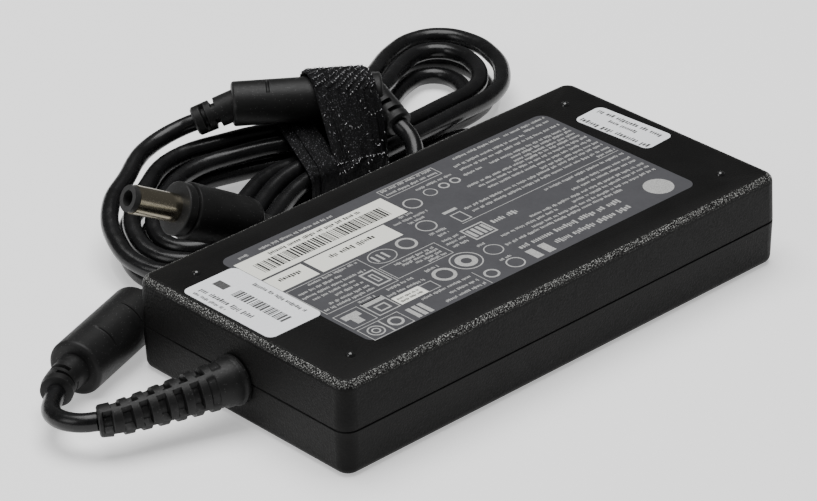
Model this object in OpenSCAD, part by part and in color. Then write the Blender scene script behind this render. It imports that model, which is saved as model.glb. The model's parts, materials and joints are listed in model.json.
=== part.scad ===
// Slim power adapter for a laptop computer, with its low-voltage lead wound in a tied hank.
// The origin is at the middle of the housing's underside. +X points to the mains inlet,
// +Y to the side where the hank lies, and +Z up. Millimetres.

/* [Housing] */
// Length of the housing, from the cord end to the inlet end
body_l = 150; // [146:1:180]
// Width of the housing
body_w = 76; // [74:1:96]
// Height of the housing
body_h = 25.4; // [25:0.1:32]
// Height of the line where the two shells meet
seam_h = 12.4; // [12:0.1:13]
// Wall thickness of both shells
wall = 2; // [1.6:0.1:2.4]
// Radius of the upright corners
corner_r = 4; // [3.5:0.1:6]
// Radius of the edges round the top and the underside
edge_r = 2.2; // [1:0.1:2.6]
// Inset of the walls at the top and the underside, measured at the seam
draft = 0.35; // [0.1:0.05:0.6]
// Depth of the fine groove along the seam
groove = 0.3; // [0.1:0.05:0.4]
// Height of the lip that locates one shell in the other
lip_h = 1.2; // [0.8:0.1:2]
// Thickness of that lip
lip_t = 0.8; // [0.6:0.05:1]

/* [Labels and feet] */
// Length of the rating label
label_l = 112; // [90:1:116]
// Width of the rating label
label_w = 55.6; // [40:0.1:60]
// Corner radius of the rating label
label_r = 3; // [1:0.1:5]
// Distance from the cord end to the rating label
label_start = 18.9; // [16:0.1:26]
// Thickness of the rating label and depth of its recess
label_t = 0.25; // [0.15:0.05:0.5]
// Size of the part sticker along and across the housing
part_sticker = [17, 32.5]; // [10:0.1:34]
// Distance from the cord end to the part sticker
part_sticker_start = 2.9; // [2.9:0.1:4]
// Distance from the housing's far side to the part sticker
part_sticker_edge = 14.45; // [13.5:0.05:16]
// Size of the test sticker along and across the housing
test_sticker = [10.4, 25.3]; // [6:0.1:28]
// Distance from the inlet end to the test sticker
test_sticker_start = 4.9; // [4:0.1:6]
// Distance from the housing's far side to the test sticker
test_sticker_edge = 17.75; // [17:0.05:19]
// Turn of the test sticker out of square
test_sticker_turn = 3.3; // [-4:0.1:4]
// Thickness of both stickers
sticker_t = 0.15; // [0.1:0.05:0.3]
// Diameter of the small feet
foot_d = 2.4; // [1.6:0.1:3]
// Height of the small feet
foot_h = 0.9; // [0.5:0.05:1.1]
// Distance of the feet from the housing's ends
foot_end = 11.3; // [8:0.1:13]
// Distance of the feet from the housing's sides
foot_side = 10.3; // [4.5:0.1:10.5]

/* [Mains inlet] */
// Width of the inlet's block
inlet_w = 20; // [19.4:0.1:24]
// Height of the inlet's block
inlet_h = 16.6; // [16.2:0.1:17.6]
// Length of the inlet's block inside the wall
inlet_l = 17; // [15:0.1:18]
// How far the inlet's rim stands proud of the end face
rim_t = 0.7; // [0.4:0.1:1.2]
// Width of the rim round the block
rim_w = 0.8; // [0.4:0.1:1.2]
// Depth of the socket
socket_depth = 12.5; // [11:0.1:13]
// Radius of the socket's three lobes
socket_r = 4.5; // [4.2:0.1:4.6]
// Distance between the line and neutral pins
pin_pitch = 8; // [7.9:0.1:8.2]
// Diameter of the pins
pin_d = 2.4; // [2.2:0.05:2.5]
// Free length of the pins
pin_free = 9.6; // [8:0.1:10]

/* [Inside] */
// Thickness of the circuit board
board_t = 1.6; // [1:0.1:2]
// Height of the board's underside above the shell's floor
board_lift = 4; // [3:0.1:4.4]
// Thickness of the heat spreader
spreader_t = 0.8; // [0.5:0.1:1.2]
// Length of the bulk capacitor
bulk_l = 30; // [25:0.5:33]
// Length of the transformer along the housing
transformer_l = 24; // [18:0.5:25]
// Room between the tallest parts on the board and the heat spreader
part_clear = 1; // [0.8:0.1:2.5]

/* [Cord and what is on it] */
// Diameter of the low-voltage cord
cord_d = 4.8; // [4:0.1:5]
// Diameter of the strain relief's flange
relief_flange_d = 13; // [11:0.1:15]
// Diameter of the strain relief at its root
relief_root_d = 11.8; // [10:0.1:12]
// Diameter of the strain relief at its tip
relief_tip_d = 7.8; // [7:0.1:9]
// Diameter of the large choke's case
choke_d = 14.6; // [13:0.1:14.6]
// Length of the large choke's case
choke_l = 31; // [30:0.5:33]
// Diameter of the small choke's case
bead_d = 12; // [11:0.1:12]
// Length of the small choke's case
bead_l = 40; // [39:0.5:41]
// Diameter of the necks at both ends of the chokes
neck_d = 8.4; // [7:0.1:8.8]
// Diameter of the plug's moulded body
grip_d = 14.6; // [12:0.1:14.6]
// Length of the plug's moulded body
grip_l = 25; // [24:0.1:25.4]
// Outer diameter of the plug's metal barrel
barrel_d = 7.4; // [7.3:0.05:7.5]
// Inner diameter of the plug's metal barrel
barrel_bore = 5.1; // [5:0.05:5.2]
// Free length of the plug's barrel
barrel_l = 12.5; // [11:0.1:13]
// Diameter of the plug's centre pin
centre_pin_d = 0.8; // [0.6:0.05:1]
// Width of the hook-and-loop tie
tie_w = 19.4; // [16:0.2:20]
// Thickness of the hook-and-loop tie
tie_t = 1.3; // [0.8:0.1:1.3]

/* [Hidden] */

fit = 0.2;
touch = 0.3;
cord_r = cord_d / 2;

// ---- Housing ----
inner_l = body_l - 2 * wall;
inner_w = body_w - 2 * wall;
floor_z = wall;
ceiling_z = body_h - wall;
arc_steps = 6;

// Wall outline as [inset, height], from the seam to a flat face; up is 1 or -1
function wall_outline(flat_z, up) = concat(
    [[groove, seam_h], [0, seam_h + up * groove]],
    [for (i = [0:arc_steps]) let (t = 90 * i / arc_steps)
        [draft + edge_r * (1 - cos(t)), flat_z - up * edge_r * (1 - sin(t))]]);
function reversed(list) = [for (i = [len(list) - 1:-1:0]) list[i]];
function across(outline, width) = concat(
    [for (p = outline) [width / 2 - p[0], p[1]]],
    [for (p = reversed(outline)) [p[0] - width / 2, p[1]]]);

module corners(l, w, r) {
    for (x = [-1, 1], y = [-1, 1])
        translate([x * (l / 2 - r), y * (w / 2 - r), 0])
            children();
}

// Block with round upright corners that stands on z = 0
module rounded_block(l, w, h, r) {
    translate([-l / 2, r - w / 2, 0])
        cube([l, w - 2 * r, h]);
    translate([r - l / 2, -w / 2, 0])
        cube([l - 2 * r, w, h]);
    corners(l, w, r)
        cylinder(h = h, r = r, $fn = 48);
}

// Half of the housing as one solid, with its outline swept round the plan
module half_housing(outline) {
    rotate([90, 0, 90])
        linear_extrude(body_l - 2 * corner_r, center = true)
            polygon(across(outline, body_w));
    rotate([90, 0, 0])
        linear_extrude(body_w - 2 * corner_r, center = true)
            polygon(across(outline, body_l));
    corners(body_l, body_w, corner_r)
        rotate_extrude($fn = 48)
            polygon(concat([[0, outline[0][1]]],
                [for (p = outline) [corner_r - p[0], p[1]]],
                [[0, outline[len(outline) - 1][1]]]));
}

// The label lies label_start from the cord end
label_x = label_start + label_l / 2 - body_l / 2;
label_y = 0.7;
module on_top(x, y) {
    translate([x, y, body_h])
        children();
}

// ---- Strain relief: where it passes through the end wall ----
relief_y = 1;
relief_z = 11.7;
relief_neck_d = 9;
relief_flange_t = 2.2;
relief_inner_t = 1.8;
module relief_hole() {
    translate([-body_l / 2 - wall, relief_y, relief_z])
        rotate([0, 90, 0])
            cylinder(h = 3 * wall, d = relief_neck_d + 2 * fit, $fn = 48);
}

// ---- Inlet ----
inlet_z = body_h / 2;
inlet_back = body_l / 2 - inlet_l;
pin_low = 2.2;
pin_high = 3;
pin_spots = [[-pin_pitch / 2, -pin_low], [pin_pitch / 2, -pin_low], [0, pin_high]];
pin_back = inlet_back - 4;
module inlet_box(grow, from_x, to_x) {
    translate([from_x, -inlet_w / 2 - grow, inlet_z - inlet_h / 2 - grow])
        cube([to_x - from_x, inlet_w + 2 * grow, inlet_h + 2 * grow]);
}

module wall_holes() {
    relief_hole();
    inlet_box(fit, body_l / 2 - 2 * wall, body_l / 2 + wall);
}

module top_shell() {
    color("#26262a")
        difference() {
            half_housing(wall_outline(body_h, 1));
            translate([0, 0, seam_h - 1])
                rounded_block(inner_l, inner_w, ceiling_z - seam_h + 1, corner_r - wall + 0.4);
            translate([0, 0, seam_h - 1])
                rounded_block(inner_l + 2 * lip_t + fit, inner_w + 2 * lip_t + fit, lip_h + 1 + fit,
                    corner_r - wall + lip_t);
            on_top(label_x, label_y)
                translate([0, 0, -label_t])
                    rounded_block(label_l + fit, label_w + fit, 2 * label_t, label_r);
            wall_holes();
        }
}

// Posts under the board, clear of its corners
post_d = 5;
post_in = 6;
module post_spots() {
    for (x = [board_from + post_in, board_to - post_in], y = [-1, 1] * (board_w / 2 - post_in))
        translate([x, y, floor_z])
            children();
}

module bottom_shell() {
    color("#232327")
        difference() {
            union() {
                difference() {
                    union() {
                        half_housing(wall_outline(0, -1));
                        translate([0, 0, floor_z])
                            rounded_block(inner_l + 2 * lip_t, inner_w + 2 * lip_t,
                                seam_h + lip_h - floor_z, corner_r - wall + lip_t);
                    }
                    translate([0, 0, floor_z])
                        rounded_block(inner_l, inner_w, body_h, corner_r - wall + 0.4);
                }
                post_spots()
                    cylinder(h = board_lift, d = post_d, $fn = 32);
                translate([inlet_back + 2, -inlet_w / 2, floor_z])
                    cube([inlet_l - wall - 2.5, inlet_w, inlet_z - inlet_h / 2 - floor_z]);
            }
            wall_holes();
        }
}

module rating_label() {
    color("#46464c")
        on_top(label_x, label_y)
            translate([0, 0, -label_t])
                rounded_block(label_l, label_w, label_t, label_r);
}

module sticker(x, y, size, turn) {
    color("#e9ebee")
        on_top(x, y)
            rotate([0, 0, turn])
                rounded_block(size[0], size[1], sticker_t, 2);
}

module part_sticker_plate() {
    sticker(part_sticker_start + part_sticker[0] / 2 - body_l / 2,
        body_w / 2 - part_sticker_edge - part_sticker[1] / 2, part_sticker, 0);
}

module test_sticker_plate() {
    sticker(body_l / 2 - test_sticker_start - test_sticker[0] / 2,
        body_w / 2 - test_sticker_edge - test_sticker[1] / 2, test_sticker,
        test_sticker_turn);
}

module small_feet() {
    dome_r = (foot_d * foot_d / 4 + foot_h * foot_h) / (2 * foot_h);
    color("#101012")
        for (x = [-1, 1] * (body_l / 2 - foot_end), y = [-1, 1] * (body_w / 2 - foot_side))
            on_top(x, y)
                intersection() {
                    translate([0, 0, foot_h - dome_r])
                        sphere(r = dome_r, $fn = 48);
                    cylinder(h = 2 * foot_h, d = 2 * foot_d, $fn = 48);
                }
}

// ---- Mains inlet ----
module socket_lobes() {
    for (p = pin_spots)
        translate(p)
            circle(r = socket_r, $fn = 48);
    translate([-pin_pitch / 2, -pin_low - socket_r])
        square([pin_pitch, 2 * socket_r]);
    translate([-socket_r, -pin_low])
        square([2 * socket_r, pin_low + pin_high]);
}

module inlet_socket() {
    color("#161618")
        difference() {
            union() {
                inlet_box(0, inlet_back, body_l / 2);
                inlet_box(rim_w, body_l / 2, body_l / 2 + rim_t);
            }
            translate([body_l / 2 + rim_t - socket_depth, 0, inlet_z])
                rotate([90, 0, 90])
                    linear_extrude(socket_depth + 1)
                        socket_lobes();
            for (p = pin_spots)
                translate([inlet_back - 1, p[0], inlet_z + p[1]])
                    rotate([0, 90, 0])
                        cylinder(h = inlet_l, d = pin_d, $fn = 32);
        }
}

module inlet_pins() {
    color("#b8a878")
        for (p = pin_spots)
            translate([pin_back, p[0], inlet_z + p[1]])
                rotate([0, 90, 0])
                    cylinder(h = body_l / 2 + rim_t - socket_depth + pin_free - pin_back, d = pin_d, $fn = 32);
}

// Solder posts that carry the pins' tails down to the board
module inlet_leads() {
    color("#c87850")
        for (p = pin_spots)
            translate([pin_back + 1.4, p[0], board_top])
                cylinder(h = inlet_z + p[1] - pin_d / 2 - board_top, d = 1.6, $fn = 24);
}

// ---- Board and what stands on it ----
board_from = 5.5 - inner_l / 2;
board_to = inlet_back - 1.5;
board_w = inner_w - 6;
board_z = floor_z + board_lift;
board_top = board_z + board_t;
sheet_t = 0.4;
part_h = ceiling_z - fit - spreader_t - part_clear - board_top;
bulk_d = part_h + 0.2;
package_h = part_h - 0.8;

module board_slab(grow, h) {
    translate([board_from - grow, -board_w / 2 - grow, 0])
        cube([board_to - board_from + 2 * grow, board_w + 2 * grow, h]);
}

module circuit_board() {
    color("#2f6b3a")
        translate([0, 0, board_z])
            board_slab(0, board_t);
}

module insulating_sheet() {
    color("#d8d2c0")
        difference() {
            translate([0, 0, floor_z])
                board_slab(0.6, sheet_t);
            post_spots()
                cylinder(h = 4 * sheet_t, d = post_d + 1, center = true, $fn = 32);
        }
}

spreader_from = -52;
spreader_to = 34;
module heat_spreader() {
    top_z = ceiling_z - fit;
    color("#b9bcc0") {
        translate([spreader_from, -board_w / 2, top_z - spreader_t])
            cube([spreader_to - spreader_from, board_w, spreader_t]);
        for (y = [-board_w / 2, board_w / 2 - spreader_t])
            translate([spreader_from, y, board_top])
                cube([spreader_to - spreader_from, spreader_t, top_z - spreader_t / 2 - board_top]);
    }
}

module on_board(x, y) {
    translate([x, y, board_top])
        children();
}

module box_on_board(x, y, size) {
    on_board(x - size[0] / 2, y - size[1] / 2)
        cube(size);
}

module fuse() {
    color("#d8d8d0")
        on_board(46, 22)
            cylinder(h = 8, d = 8, $fn = 32);
}

module surge_thermistor() {
    color("#3a3a2c")
        on_board(46, -22)
            rotate([0, 90, 0])
                translate([-5, 0, -2])
                    cylinder(h = 4, d = 10, $fn = 32);
}

module filter_capacitor() {
    color("#d9b23c")
        box_on_board(40, 0, [8.5, 18, part_h]);
}

// Standing toroid with its axis along X; the winding leaves a gap at the foot
module toroid_core(r_in, r_out, h) {
    rotate([0, 90, 0])
        rotate_extrude($fn = 48)
            translate([r_in, -h / 2])
                square([r_out - r_in, h]);
}

module toroid_winding(r_in, r_out, h, t, half_angle) {
    for (side = [0, 180])
        rotate([side - half_angle, 0, 0])
            rotate([0, 90, 0])
                rotate_extrude(angle = 2 * half_angle, $fn = 48)
                    difference() {
                        translate([r_in - t, -h / 2 - t])
                            square([r_out - r_in + 2 * t, h + 2 * t]);
                        translate([r_in, -h / 2])
                            square([r_out - r_in, h]);
                    }
}

wire_t = 0.9;
line_choke = [26, 17];
line_choke_r = [3.2, part_h / 2 - 0.8];
line_choke_h = 7;
module line_choke_core() {
    color("#3b3b40")
        on_board(line_choke[0], line_choke[1])
            translate([0, 0, line_choke_r[1] + wire_t])
                toroid_core(line_choke_r[0], line_choke_r[1], line_choke_h);
}

module line_choke_winding() {
    color("#b4652f")
        on_board(line_choke[0], line_choke[1])
            translate([0, 0, line_choke_r[1] + wire_t])
                toroid_winding(line_choke_r[0], line_choke_r[1], line_choke_h, wire_t, 55);
}

module safety_capacitors() {
    color("#2f6fb5")
        for (y = [-6, -13])
            on_board(28, y)
                rotate([90, 0, 0])
                    translate([0, 4.5, -1.8])
                        cylinder(h = 3.6, d = 9, $fn = 32);
}

heatsink_t = 1.8;
sink_in = 4;
primary_sink_y = sink_in - board_w / 2;
output_sink_y = board_w / 2 - sink_in;
module primary_heatsink() {
    color("#a9adb3")
        box_on_board(8, primary_sink_y, [46, heatsink_t, part_h]);
}

// A flat package that stands on the board against a heatsink plate; side is 1 or -1
module package(x, sink_y, side, size) {
    box_on_board(x, sink_y - side * (heatsink_t + size[1]) / 2, size);
}

module bridge_rectifier() {
    color("#1c1c1e")
        package(22, primary_sink_y, -1, [15, 3.6, package_h - 2]);
}

module power_transistors() {
    color("#1a1a1c")
        for (x = [6, -8])
            package(x, primary_sink_y, -1, [10, 4.4, package_h]);
}

boost_choke = [10, 15];
boost_choke_size = [14, 20];
// Two cheeks and a centre leg; the winding fills the space between them
module boost_choke_core() {
    cheek = 2.6;
    color("#4a4a50")
        on_board(boost_choke[0], boost_choke[1]) {
            for (x = [-boost_choke_size[0] / 2, boost_choke_size[0] / 2 - cheek])
                translate([x, -boost_choke_size[1] / 2, 0])
                    cube([cheek, boost_choke_size[1], part_h]);
            translate([-boost_choke_size[0] / 2, 0, part_h / 2])
                rotate([0, 90, 0])
                    cylinder(h = boost_choke_size[0], d = 6, $fn = 32);
        }
}

module boost_choke_winding() {
    spool_l = boost_choke_size[0] - 2 * 2.6;
    color("#b4652f")
        on_board(boost_choke[0], boost_choke[1])
            translate([-spool_l / 2, 0, part_h / 2])
                rotate([0, 90, 0])
                    difference() {
                        cylinder(h = spool_l, d = part_h, $fn = 48);
                        translate([0, 0, -1])
                            cylinder(h = spool_l + 2, d = 6, $fn = 32);
                    }
}

bulk_in = 18;
module bulk_capacitor() {
    color("#202a4a")
        on_board(-2, bulk_in - board_w / 2)
            translate([-bulk_l / 2, 0, bulk_d / 2])
                rotate([0, 90, 0])
                    cylinder(h = bulk_l, d = bulk_d, $fn = 48);
}

transformer_x = -14;
transformer_y = 9;
transformer_leg = 3;
// The other parts need this width of the board beside the transformer
beside_transformer = 39;
transformer_w = board_w - beside_transformer;
module transformer_core() {
    color("#45454b")
        on_board(transformer_x - transformer_l / 2, transformer_y - transformer_w / 2)
            difference() {
                cube([transformer_l, transformer_w, part_h]);
                translate([transformer_leg, transformer_leg, -1])
                    cube([transformer_l - 2 * transformer_leg, transformer_w - 2 * transformer_leg, part_h + 2]);
            }
    color("#45454b")
        on_board(transformer_x - transformer_l / 2, transformer_y - 3)
            cube([transformer_l, 6, part_h]);
}

module transformer_winding() {
    color("#d7c23c")
        for (side = [-1, 1])
            on_board(transformer_x - transformer_l / 2 + transformer_leg,
                transformer_y + (side > 0 ? 3 : transformer_leg - transformer_w / 2))
                cube([transformer_l - 2 * transformer_leg, transformer_w / 2 - transformer_leg - 3, part_h - 1]);
}

module control_chips() {
    color("#151517") {
        box_on_board(-24, -14, [6, 9, 1.8]);
        box_on_board(-27, -24, [5, 4, 1.6]);
        box_on_board(-34, -6, [4.6, 6.4, 3.4]);
    }
}

module output_heatsink() {
    color("#a9adb3")
        box_on_board(-42, output_sink_y, [20, heatsink_t, part_h]);
}

module output_rectifiers() {
    color("#1a1a1c")
        package(-42, output_sink_y, 1, [14, 4.6, package_h]);
}

output_choke_in = 20;
output_choke = [-36, board_w / 2 - output_choke_in];
output_choke_r = [2.6, part_h / 2 - 1.3];
module output_choke_core() {
    color("#c9b25a")
        on_board(output_choke[0], output_choke[1])
            translate([0, 0, output_choke_r[1] + wire_t])
                toroid_core(output_choke_r[0], output_choke_r[1], 5);
}

module output_choke_winding() {
    color("#b4652f")
        on_board(output_choke[0], output_choke[1])
            translate([0, 0, output_choke_r[1] + wire_t])
                toroid_winding(output_choke_r[0], output_choke_r[1], 5, wire_t, 60);
}

module output_capacitors() {
    color("#223a2c")
        for (p = [[-44, -20], [-44, -8], [-56, -14], [-52, 6]])
            on_board(p[0], p[1])
                cylinder(h = part_h, d = 10, $fn = 32);
}

lead_d = 2;
lead_from = relief_inner_t - inner_l / 2;
lead_to = board_from + 3;
// Two wires from the strain relief's inner end, each bent down to the board
module output_leads() {
    color("#b02a2a")
        for (y = [-1.6, 1.6]) {
            translate([lead_from, y, relief_z])
                rotate([0, 90, 0])
                    cylinder(h = lead_to - lead_from, d = lead_d, $fn = 24);
            translate([lead_to, y, relief_z])
                sphere(d = lead_d, $fn = 24);
            translate([lead_to, y, board_top])
                cylinder(h = relief_z - board_top, d = lead_d, $fn = 24);
        }
}

// ---- Round tubes swept along points ----
function unit(v) = v / norm(v);
function heading(a) = [cos(a), sin(a), 0];
function tangent(pts, i) = unit(pts[min(i + 1, len(pts) - 1)] - pts[max(i - 1, 0)]);
function ring(c, t, r, n) = let (s = unit(cross([0, 0, 1], t)), u = cross(t, s))
    [for (k = [0:n - 1]) c + r * (cos(360 * k / n) * s + sin(360 * k / n) * u)];
function cord_length(pts) = len(pts) < 2 ? 0 : norm(pts[1] - pts[0])
    + (len(pts) == 2 ? 0 : cord_length([for (i = [1:len(pts) - 1]) pts[i]]));
function tube_points(pts, radii, n) =
    [for (i = [0:len(pts) - 1]) each ring(pts[i], tangent(pts, i), radii[i], n)];
function side_faces(m, n, start) = [for (i = [0:m - 2], k = [0:n - 1])
    let (a = start + i * n + k, b = start + i * n + (k + 1) % n)
    each [[a, a + n, b + n], [a, b + n, b]]];
function cap_faces(n, start, turn) = [for (k = [1:n - 2])
    turn > 0 ? [start, start + k, start + k + 1] : [start, start + k + 1, start + k]];
module tube(pts, radii, n) {
    m = len(pts);
    polyhedron(tube_points(pts, radii, n),
        concat(side_faces(m, n, 0), cap_faces(n, 0, 1), cap_faces(n, (m - 1) * n, -1)),
        convexity = 10);
}

module plain_cord(pts) {
    color("#141416")
        tube(pts, [for (p = pts) cord_r], 8);
}

// ---- Strain relief ----
relief_route = [[-3, 1.2, 11.7], [-8, 2.8, 11.2], [-15.5, 5.2, 10.5], [-25.3, 8.3, 9.8],
    [-29.7, 10, 9.5], [-33.4, 12.4, 9.2]];
relief_steps = len(relief_route) - 1;
// The route starts just outside the end wall
relief_points = [for (p = relief_route) [p[0] - body_l / 2, p[1], p[2]]];
module output_relief() {
    color("#1b1b1d") {
        tube(relief_points, [for (i = [0:relief_steps])
            (relief_root_d + (relief_tip_d - relief_root_d) * i / relief_steps) / 2], 16);
        translate([-body_l / 2 - 3.2, relief_y, relief_z])
            rotate([0, 90, 0])
                cylinder(h = 1, d = relief_root_d - 0.2, $fn = 48);
        translate([-body_l / 2 - relief_flange_t, relief_y, relief_z])
            rotate([0, 90, 0])
                cylinder(h = relief_flange_t, d = relief_flange_d, $fn = 48);
        translate([-body_l / 2 - 1, relief_y, relief_z])
            rotate([0, 90, 0])
                cylinder(h = 1 + wall, d = relief_neck_d, $fn = 48);
        translate([-inner_l / 2, relief_y, relief_z])
            rotate([0, 90, 0])
                cylinder(h = relief_inner_t, d = relief_neck_d + 3, $fn = 48);
    }
}

// ---- Large choke, which lies on the surface beside the cord end ----
choke_start = [-95.1, 37.8, choke_d / 2];
choke_angle = 20;
choke_neck_l = 5;
choke_axis = heading(choke_angle);
choke_front_neck = choke_start + (choke_l + choke_neck_l) * choke_axis;
// The back neck bends towards the strain relief
choke_back_neck = choke_start + [-10.1, -5.6, 0];
back_neck_route = [choke_start + choke_axis, choke_start - 3.6 * choke_axis, choke_start + [-7, -3, 0],
    choke_back_neck];
back_neck_axis = unit(choke_back_neck - back_neck_route[2]);
core_wall = 1.4;
choke_end_wall = 3;
bead_end_wall = 7;

// Case of a choke along +X from x = 0, hollow where its ferrite core sits
module choke_case(d, l, end_wall) {
    rotate([0, 90, 0])
        difference() {
            rotate_extrude($fn = 48)
                polygon(concat([[0, 0], [d / 2 - 1.2, 0]],
                    [for (i = [1:4]) [d / 2 - 1.2 + 1.2 * sin(22.5 * i), 1.2 * (1 - cos(22.5 * i))]],
                    [for (i = [0:3]) [d / 2 - 1.2 + 1.2 * cos(22.5 * i), l - 1.2 + 1.2 * sin(22.5 * i)]],
                    [[d / 2 - 1.2, l], [0, l]]));
            rotate_extrude($fn = 48)
                translate([cord_r + core_wall, end_wall])
                    square([d / 2 - cord_r - 2 * core_wall, l - 2 * end_wall]);
        }
}

// Ribbed neck along +Z
module neck(l) {
    cylinder(h = l + 0.1, d = neck_d - 2.2, $fn = 48);
    for (z = [0, 1, 2] * (l - 2) / 2)
        translate([0, 0, z])
            cylinder(h = 1.6, d = neck_d - z * 0.12, $fn = 48);
}

module choke_core(d, l, end_wall) {
    rotate([0, 90, 0])
        rotate_extrude($fn = 48)
            translate([cord_r + core_wall + 0.05, end_wall + 0.05])
                square([d / 2 - cord_r - 2 * core_wall - 0.1, l - 2 * end_wall - 0.1]);
}

module place_choke() {
    translate(choke_start)
        rotate([0, 0, choke_angle])
            children();
}

module large_choke_case() {
    color("#1d1d1f") {
        place_choke() {
            choke_case(choke_d, choke_l, choke_end_wall);
            translate([choke_l - 0.1, 0, 0])
                rotate([0, 90, 0])
                    neck(choke_neck_l);
        }
        tube(back_neck_route, [for (p = back_neck_route) neck_d / 2 - 1.1], 16);
        along(choke_start + 0.5 * choke_axis, -choke_axis)
            cylinder(h = 4.3, d = neck_d, $fn = 48);
        along(back_neck_route[2], back_neck_axis)
            cylinder(h = 1.6, d = neck_d, center = true, $fn = 48);
        along(choke_back_neck, -back_neck_axis)
            cylinder(h = 1.6, d = neck_d, $fn = 48);
    }
}

module large_choke_core() {
    color("#57575c")
        place_choke()
            choke_core(choke_d, choke_l, choke_end_wall);
}

// ---- Hank: loops laid like a racetrack in two layers, drawn in at the waist ----
hank_centre = [21, 77];
hank_angle = 3.7;
left_run = 50;
right_run = 57.4;
left_half = 21.8;
right_half = 24.3;
waist_half = 14.2;
waist_u = -1.2;
left_draw = 42;
right_draw = 95;
loop_step = 6.1;
layer_step = 5.7;
layer_spread = 0.4;
waist_lift = 2.4;
far_lift = 5.2;
left_bow = -3.4;
right_bow = 6.7;
left_sway = 8;
right_sway = 0.3;
bow_reach = 50;
run_share = 0.3;
sway_reach = 55;
hank_first = 14;
hank_turn_back = 49;
hank_last = 106;
rings_a_loop = 24;

// One station of the racetrack whose right run is r: along the run, side, share of the end arc
function station(j, r) =
    j <= 6 ? [-left_run + (left_run + r) * j / 6, 1, 0]
    : j <= 12 ? let (a = 90 - 30 * (j - 6)) [r, sin(a), cos(a)]
    : j <= 18 ? [r - (left_run + r) * (j - 12) / 6, -1, 0]
    : let (a = -90 - 30 * (j - 18)) [-left_run, sin(a), cos(a)];
function ease(t) = let (c = min(1, max(0, t))) c * c * (3 - 2 * c);
function drawn(u) = pow(cos(90 * min(1, abs(u - waist_u) / (u < waist_u ? left_draw : right_draw))), 2);
// The middle line crosses the tie at a slant and comes back in both lobes
function swayed(u) = let (t = max(-1, min(1, (u - waist_u) / sway_reach)))
    3.5 * (t < 0 ? left_sway : right_sway) * t * pow(1 - t * t, 2);
function loop_inset(k) =
    let (reach = hank_turn_back - 3)
    loop_step / rings_a_loop * (k < reach ? k : k < reach + 6 ? reach : 2 * hank_turn_back - k);
function hank_point(k) =
    let (s = station((k + hank_first) % rings_a_loop, right_run - run_share * loop_inset(k)),
        w = drawn(s[0]),
        half = s[0] < waist_u ? left_half : right_half,
        b = half - (half - waist_half) * w - loop_inset(k),
        v = s[1] * b,
        u = s[0] + s[2] * b,
        layer = ease((k - hank_turn_back) / 6 + 0.5),
        z = cord_r + (layer_step + layer_spread * w) * layer + waist_lift * w
            + far_lift * (1 - ease(u / bow_reach)) * pow(max(0, v) / left_half, 1.5),
        bowed = v + (u < 0 ? left_bow : right_bow) * pow(u / bow_reach, 2) - swayed(u))
    [hank_centre[0] + u * cos(hank_angle) - bowed * sin(hank_angle),
        hank_centre[1] + u * sin(hank_angle) + bowed * cos(hank_angle), z];
hank_loops = [for (k = [0:hank_last]) hank_point(k)];
// Straight ends, one cord diameter long
hank_in_axis = unit(hank_loops[1] - hank_loops[0]);
hank_out_axis = unit(hank_loops[hank_last] - hank_loops[hank_last - 1]);
hank_in = hank_loops[0] - cord_d * hank_in_axis;
hank_out = hank_loops[hank_last] + cord_d * hank_out_axis;
hank_route = concat([hank_in], hank_loops, [hank_out]);

// Least gap of the cord to itself, between points that are over a quarter loop apart
hank_fine = [for (k = [0:0.5:hank_last]) hank_point(k)];
hank_gap = min([for (i = [0:len(hank_fine) - 13]) min([for (j = [i + 12:len(hank_fine) - 1])
    norm(hank_fine[i] - hank_fine[j])])]) - cord_d;
echo(hank_gap = hank_gap);
echo(hank_length = cord_length(hank_route));

module cord_hank() {
    color("#141416")
        tube(hank_route, [for (p = hank_route) cord_r], 6);
}

// ---- Small choke, which lies across the bundle under the tie ----
bead_start = [5.6, 94.3, 22.9];
bead_angle = -36.9;
bead_axis = heading(bead_angle);
bead_back_axis = unit([-0.8, 0.5, -0.33]);
bead_front_axis = unit([-0.1, -0.93, -0.36]);
bead_neck_l = 10.5;
bead_sunk = 2;
bead_front_root = bead_start + (bead_l - 2.4) * bead_axis;
bead_back_neck = bead_start + 1.6 * bead_axis + (bead_neck_l + bead_sunk) * bead_back_axis;
bead_front_neck = bead_front_root + (bead_neck_l + bead_sunk) * bead_front_axis;

module along(start, axis) {
    translate(start)
        rotate([0, acos(axis[2]), atan2(axis[1], axis[0])])
            children();
}

// Neck that leaves the case at an angle
module slanted_neck(end, axis) {
    along(end - (bead_neck_l + bead_sunk) * axis, axis) {
        cylinder(h = bead_neck_l + bead_sunk, d = neck_d - 2.2, $fn = 48);
        cylinder(h = bead_sunk + 3.6, d = neck_d, $fn = 48);
        for (z = [6.2, 9.4])
            translate([0, 0, z])
                cylinder(h = 2, d = neck_d, $fn = 48);
    }
}

module small_choke_case() {
    color("#1d1d1f") {
        translate(bead_start)
            rotate([0, 0, bead_angle])
                choke_case(bead_d, bead_l, bead_end_wall);
        slanted_neck(bead_back_neck, bead_back_axis);
        slanted_neck(bead_front_neck, bead_front_axis);
    }
}

module small_choke_core() {
    color("#57575c")
        translate(bead_start)
            rotate([0, 0, bead_angle])
                choke_core(bead_d, bead_l, bead_end_wall);
}

// ---- Plug, which leans over the hank's left lobe with its tip up ----
plug_front = [-50, 52, 29];
plug_axis = unit([0.86, -0.19, -0.45]);
grip_relief_l = 14;
grip_exit = plug_front + (grip_l + grip_relief_l) * plug_axis;
tip_ring_l = 1.6;
grip_ring = 3.2;

module place_plug() {
    along(plug_front, plug_axis)
        children();
}

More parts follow.
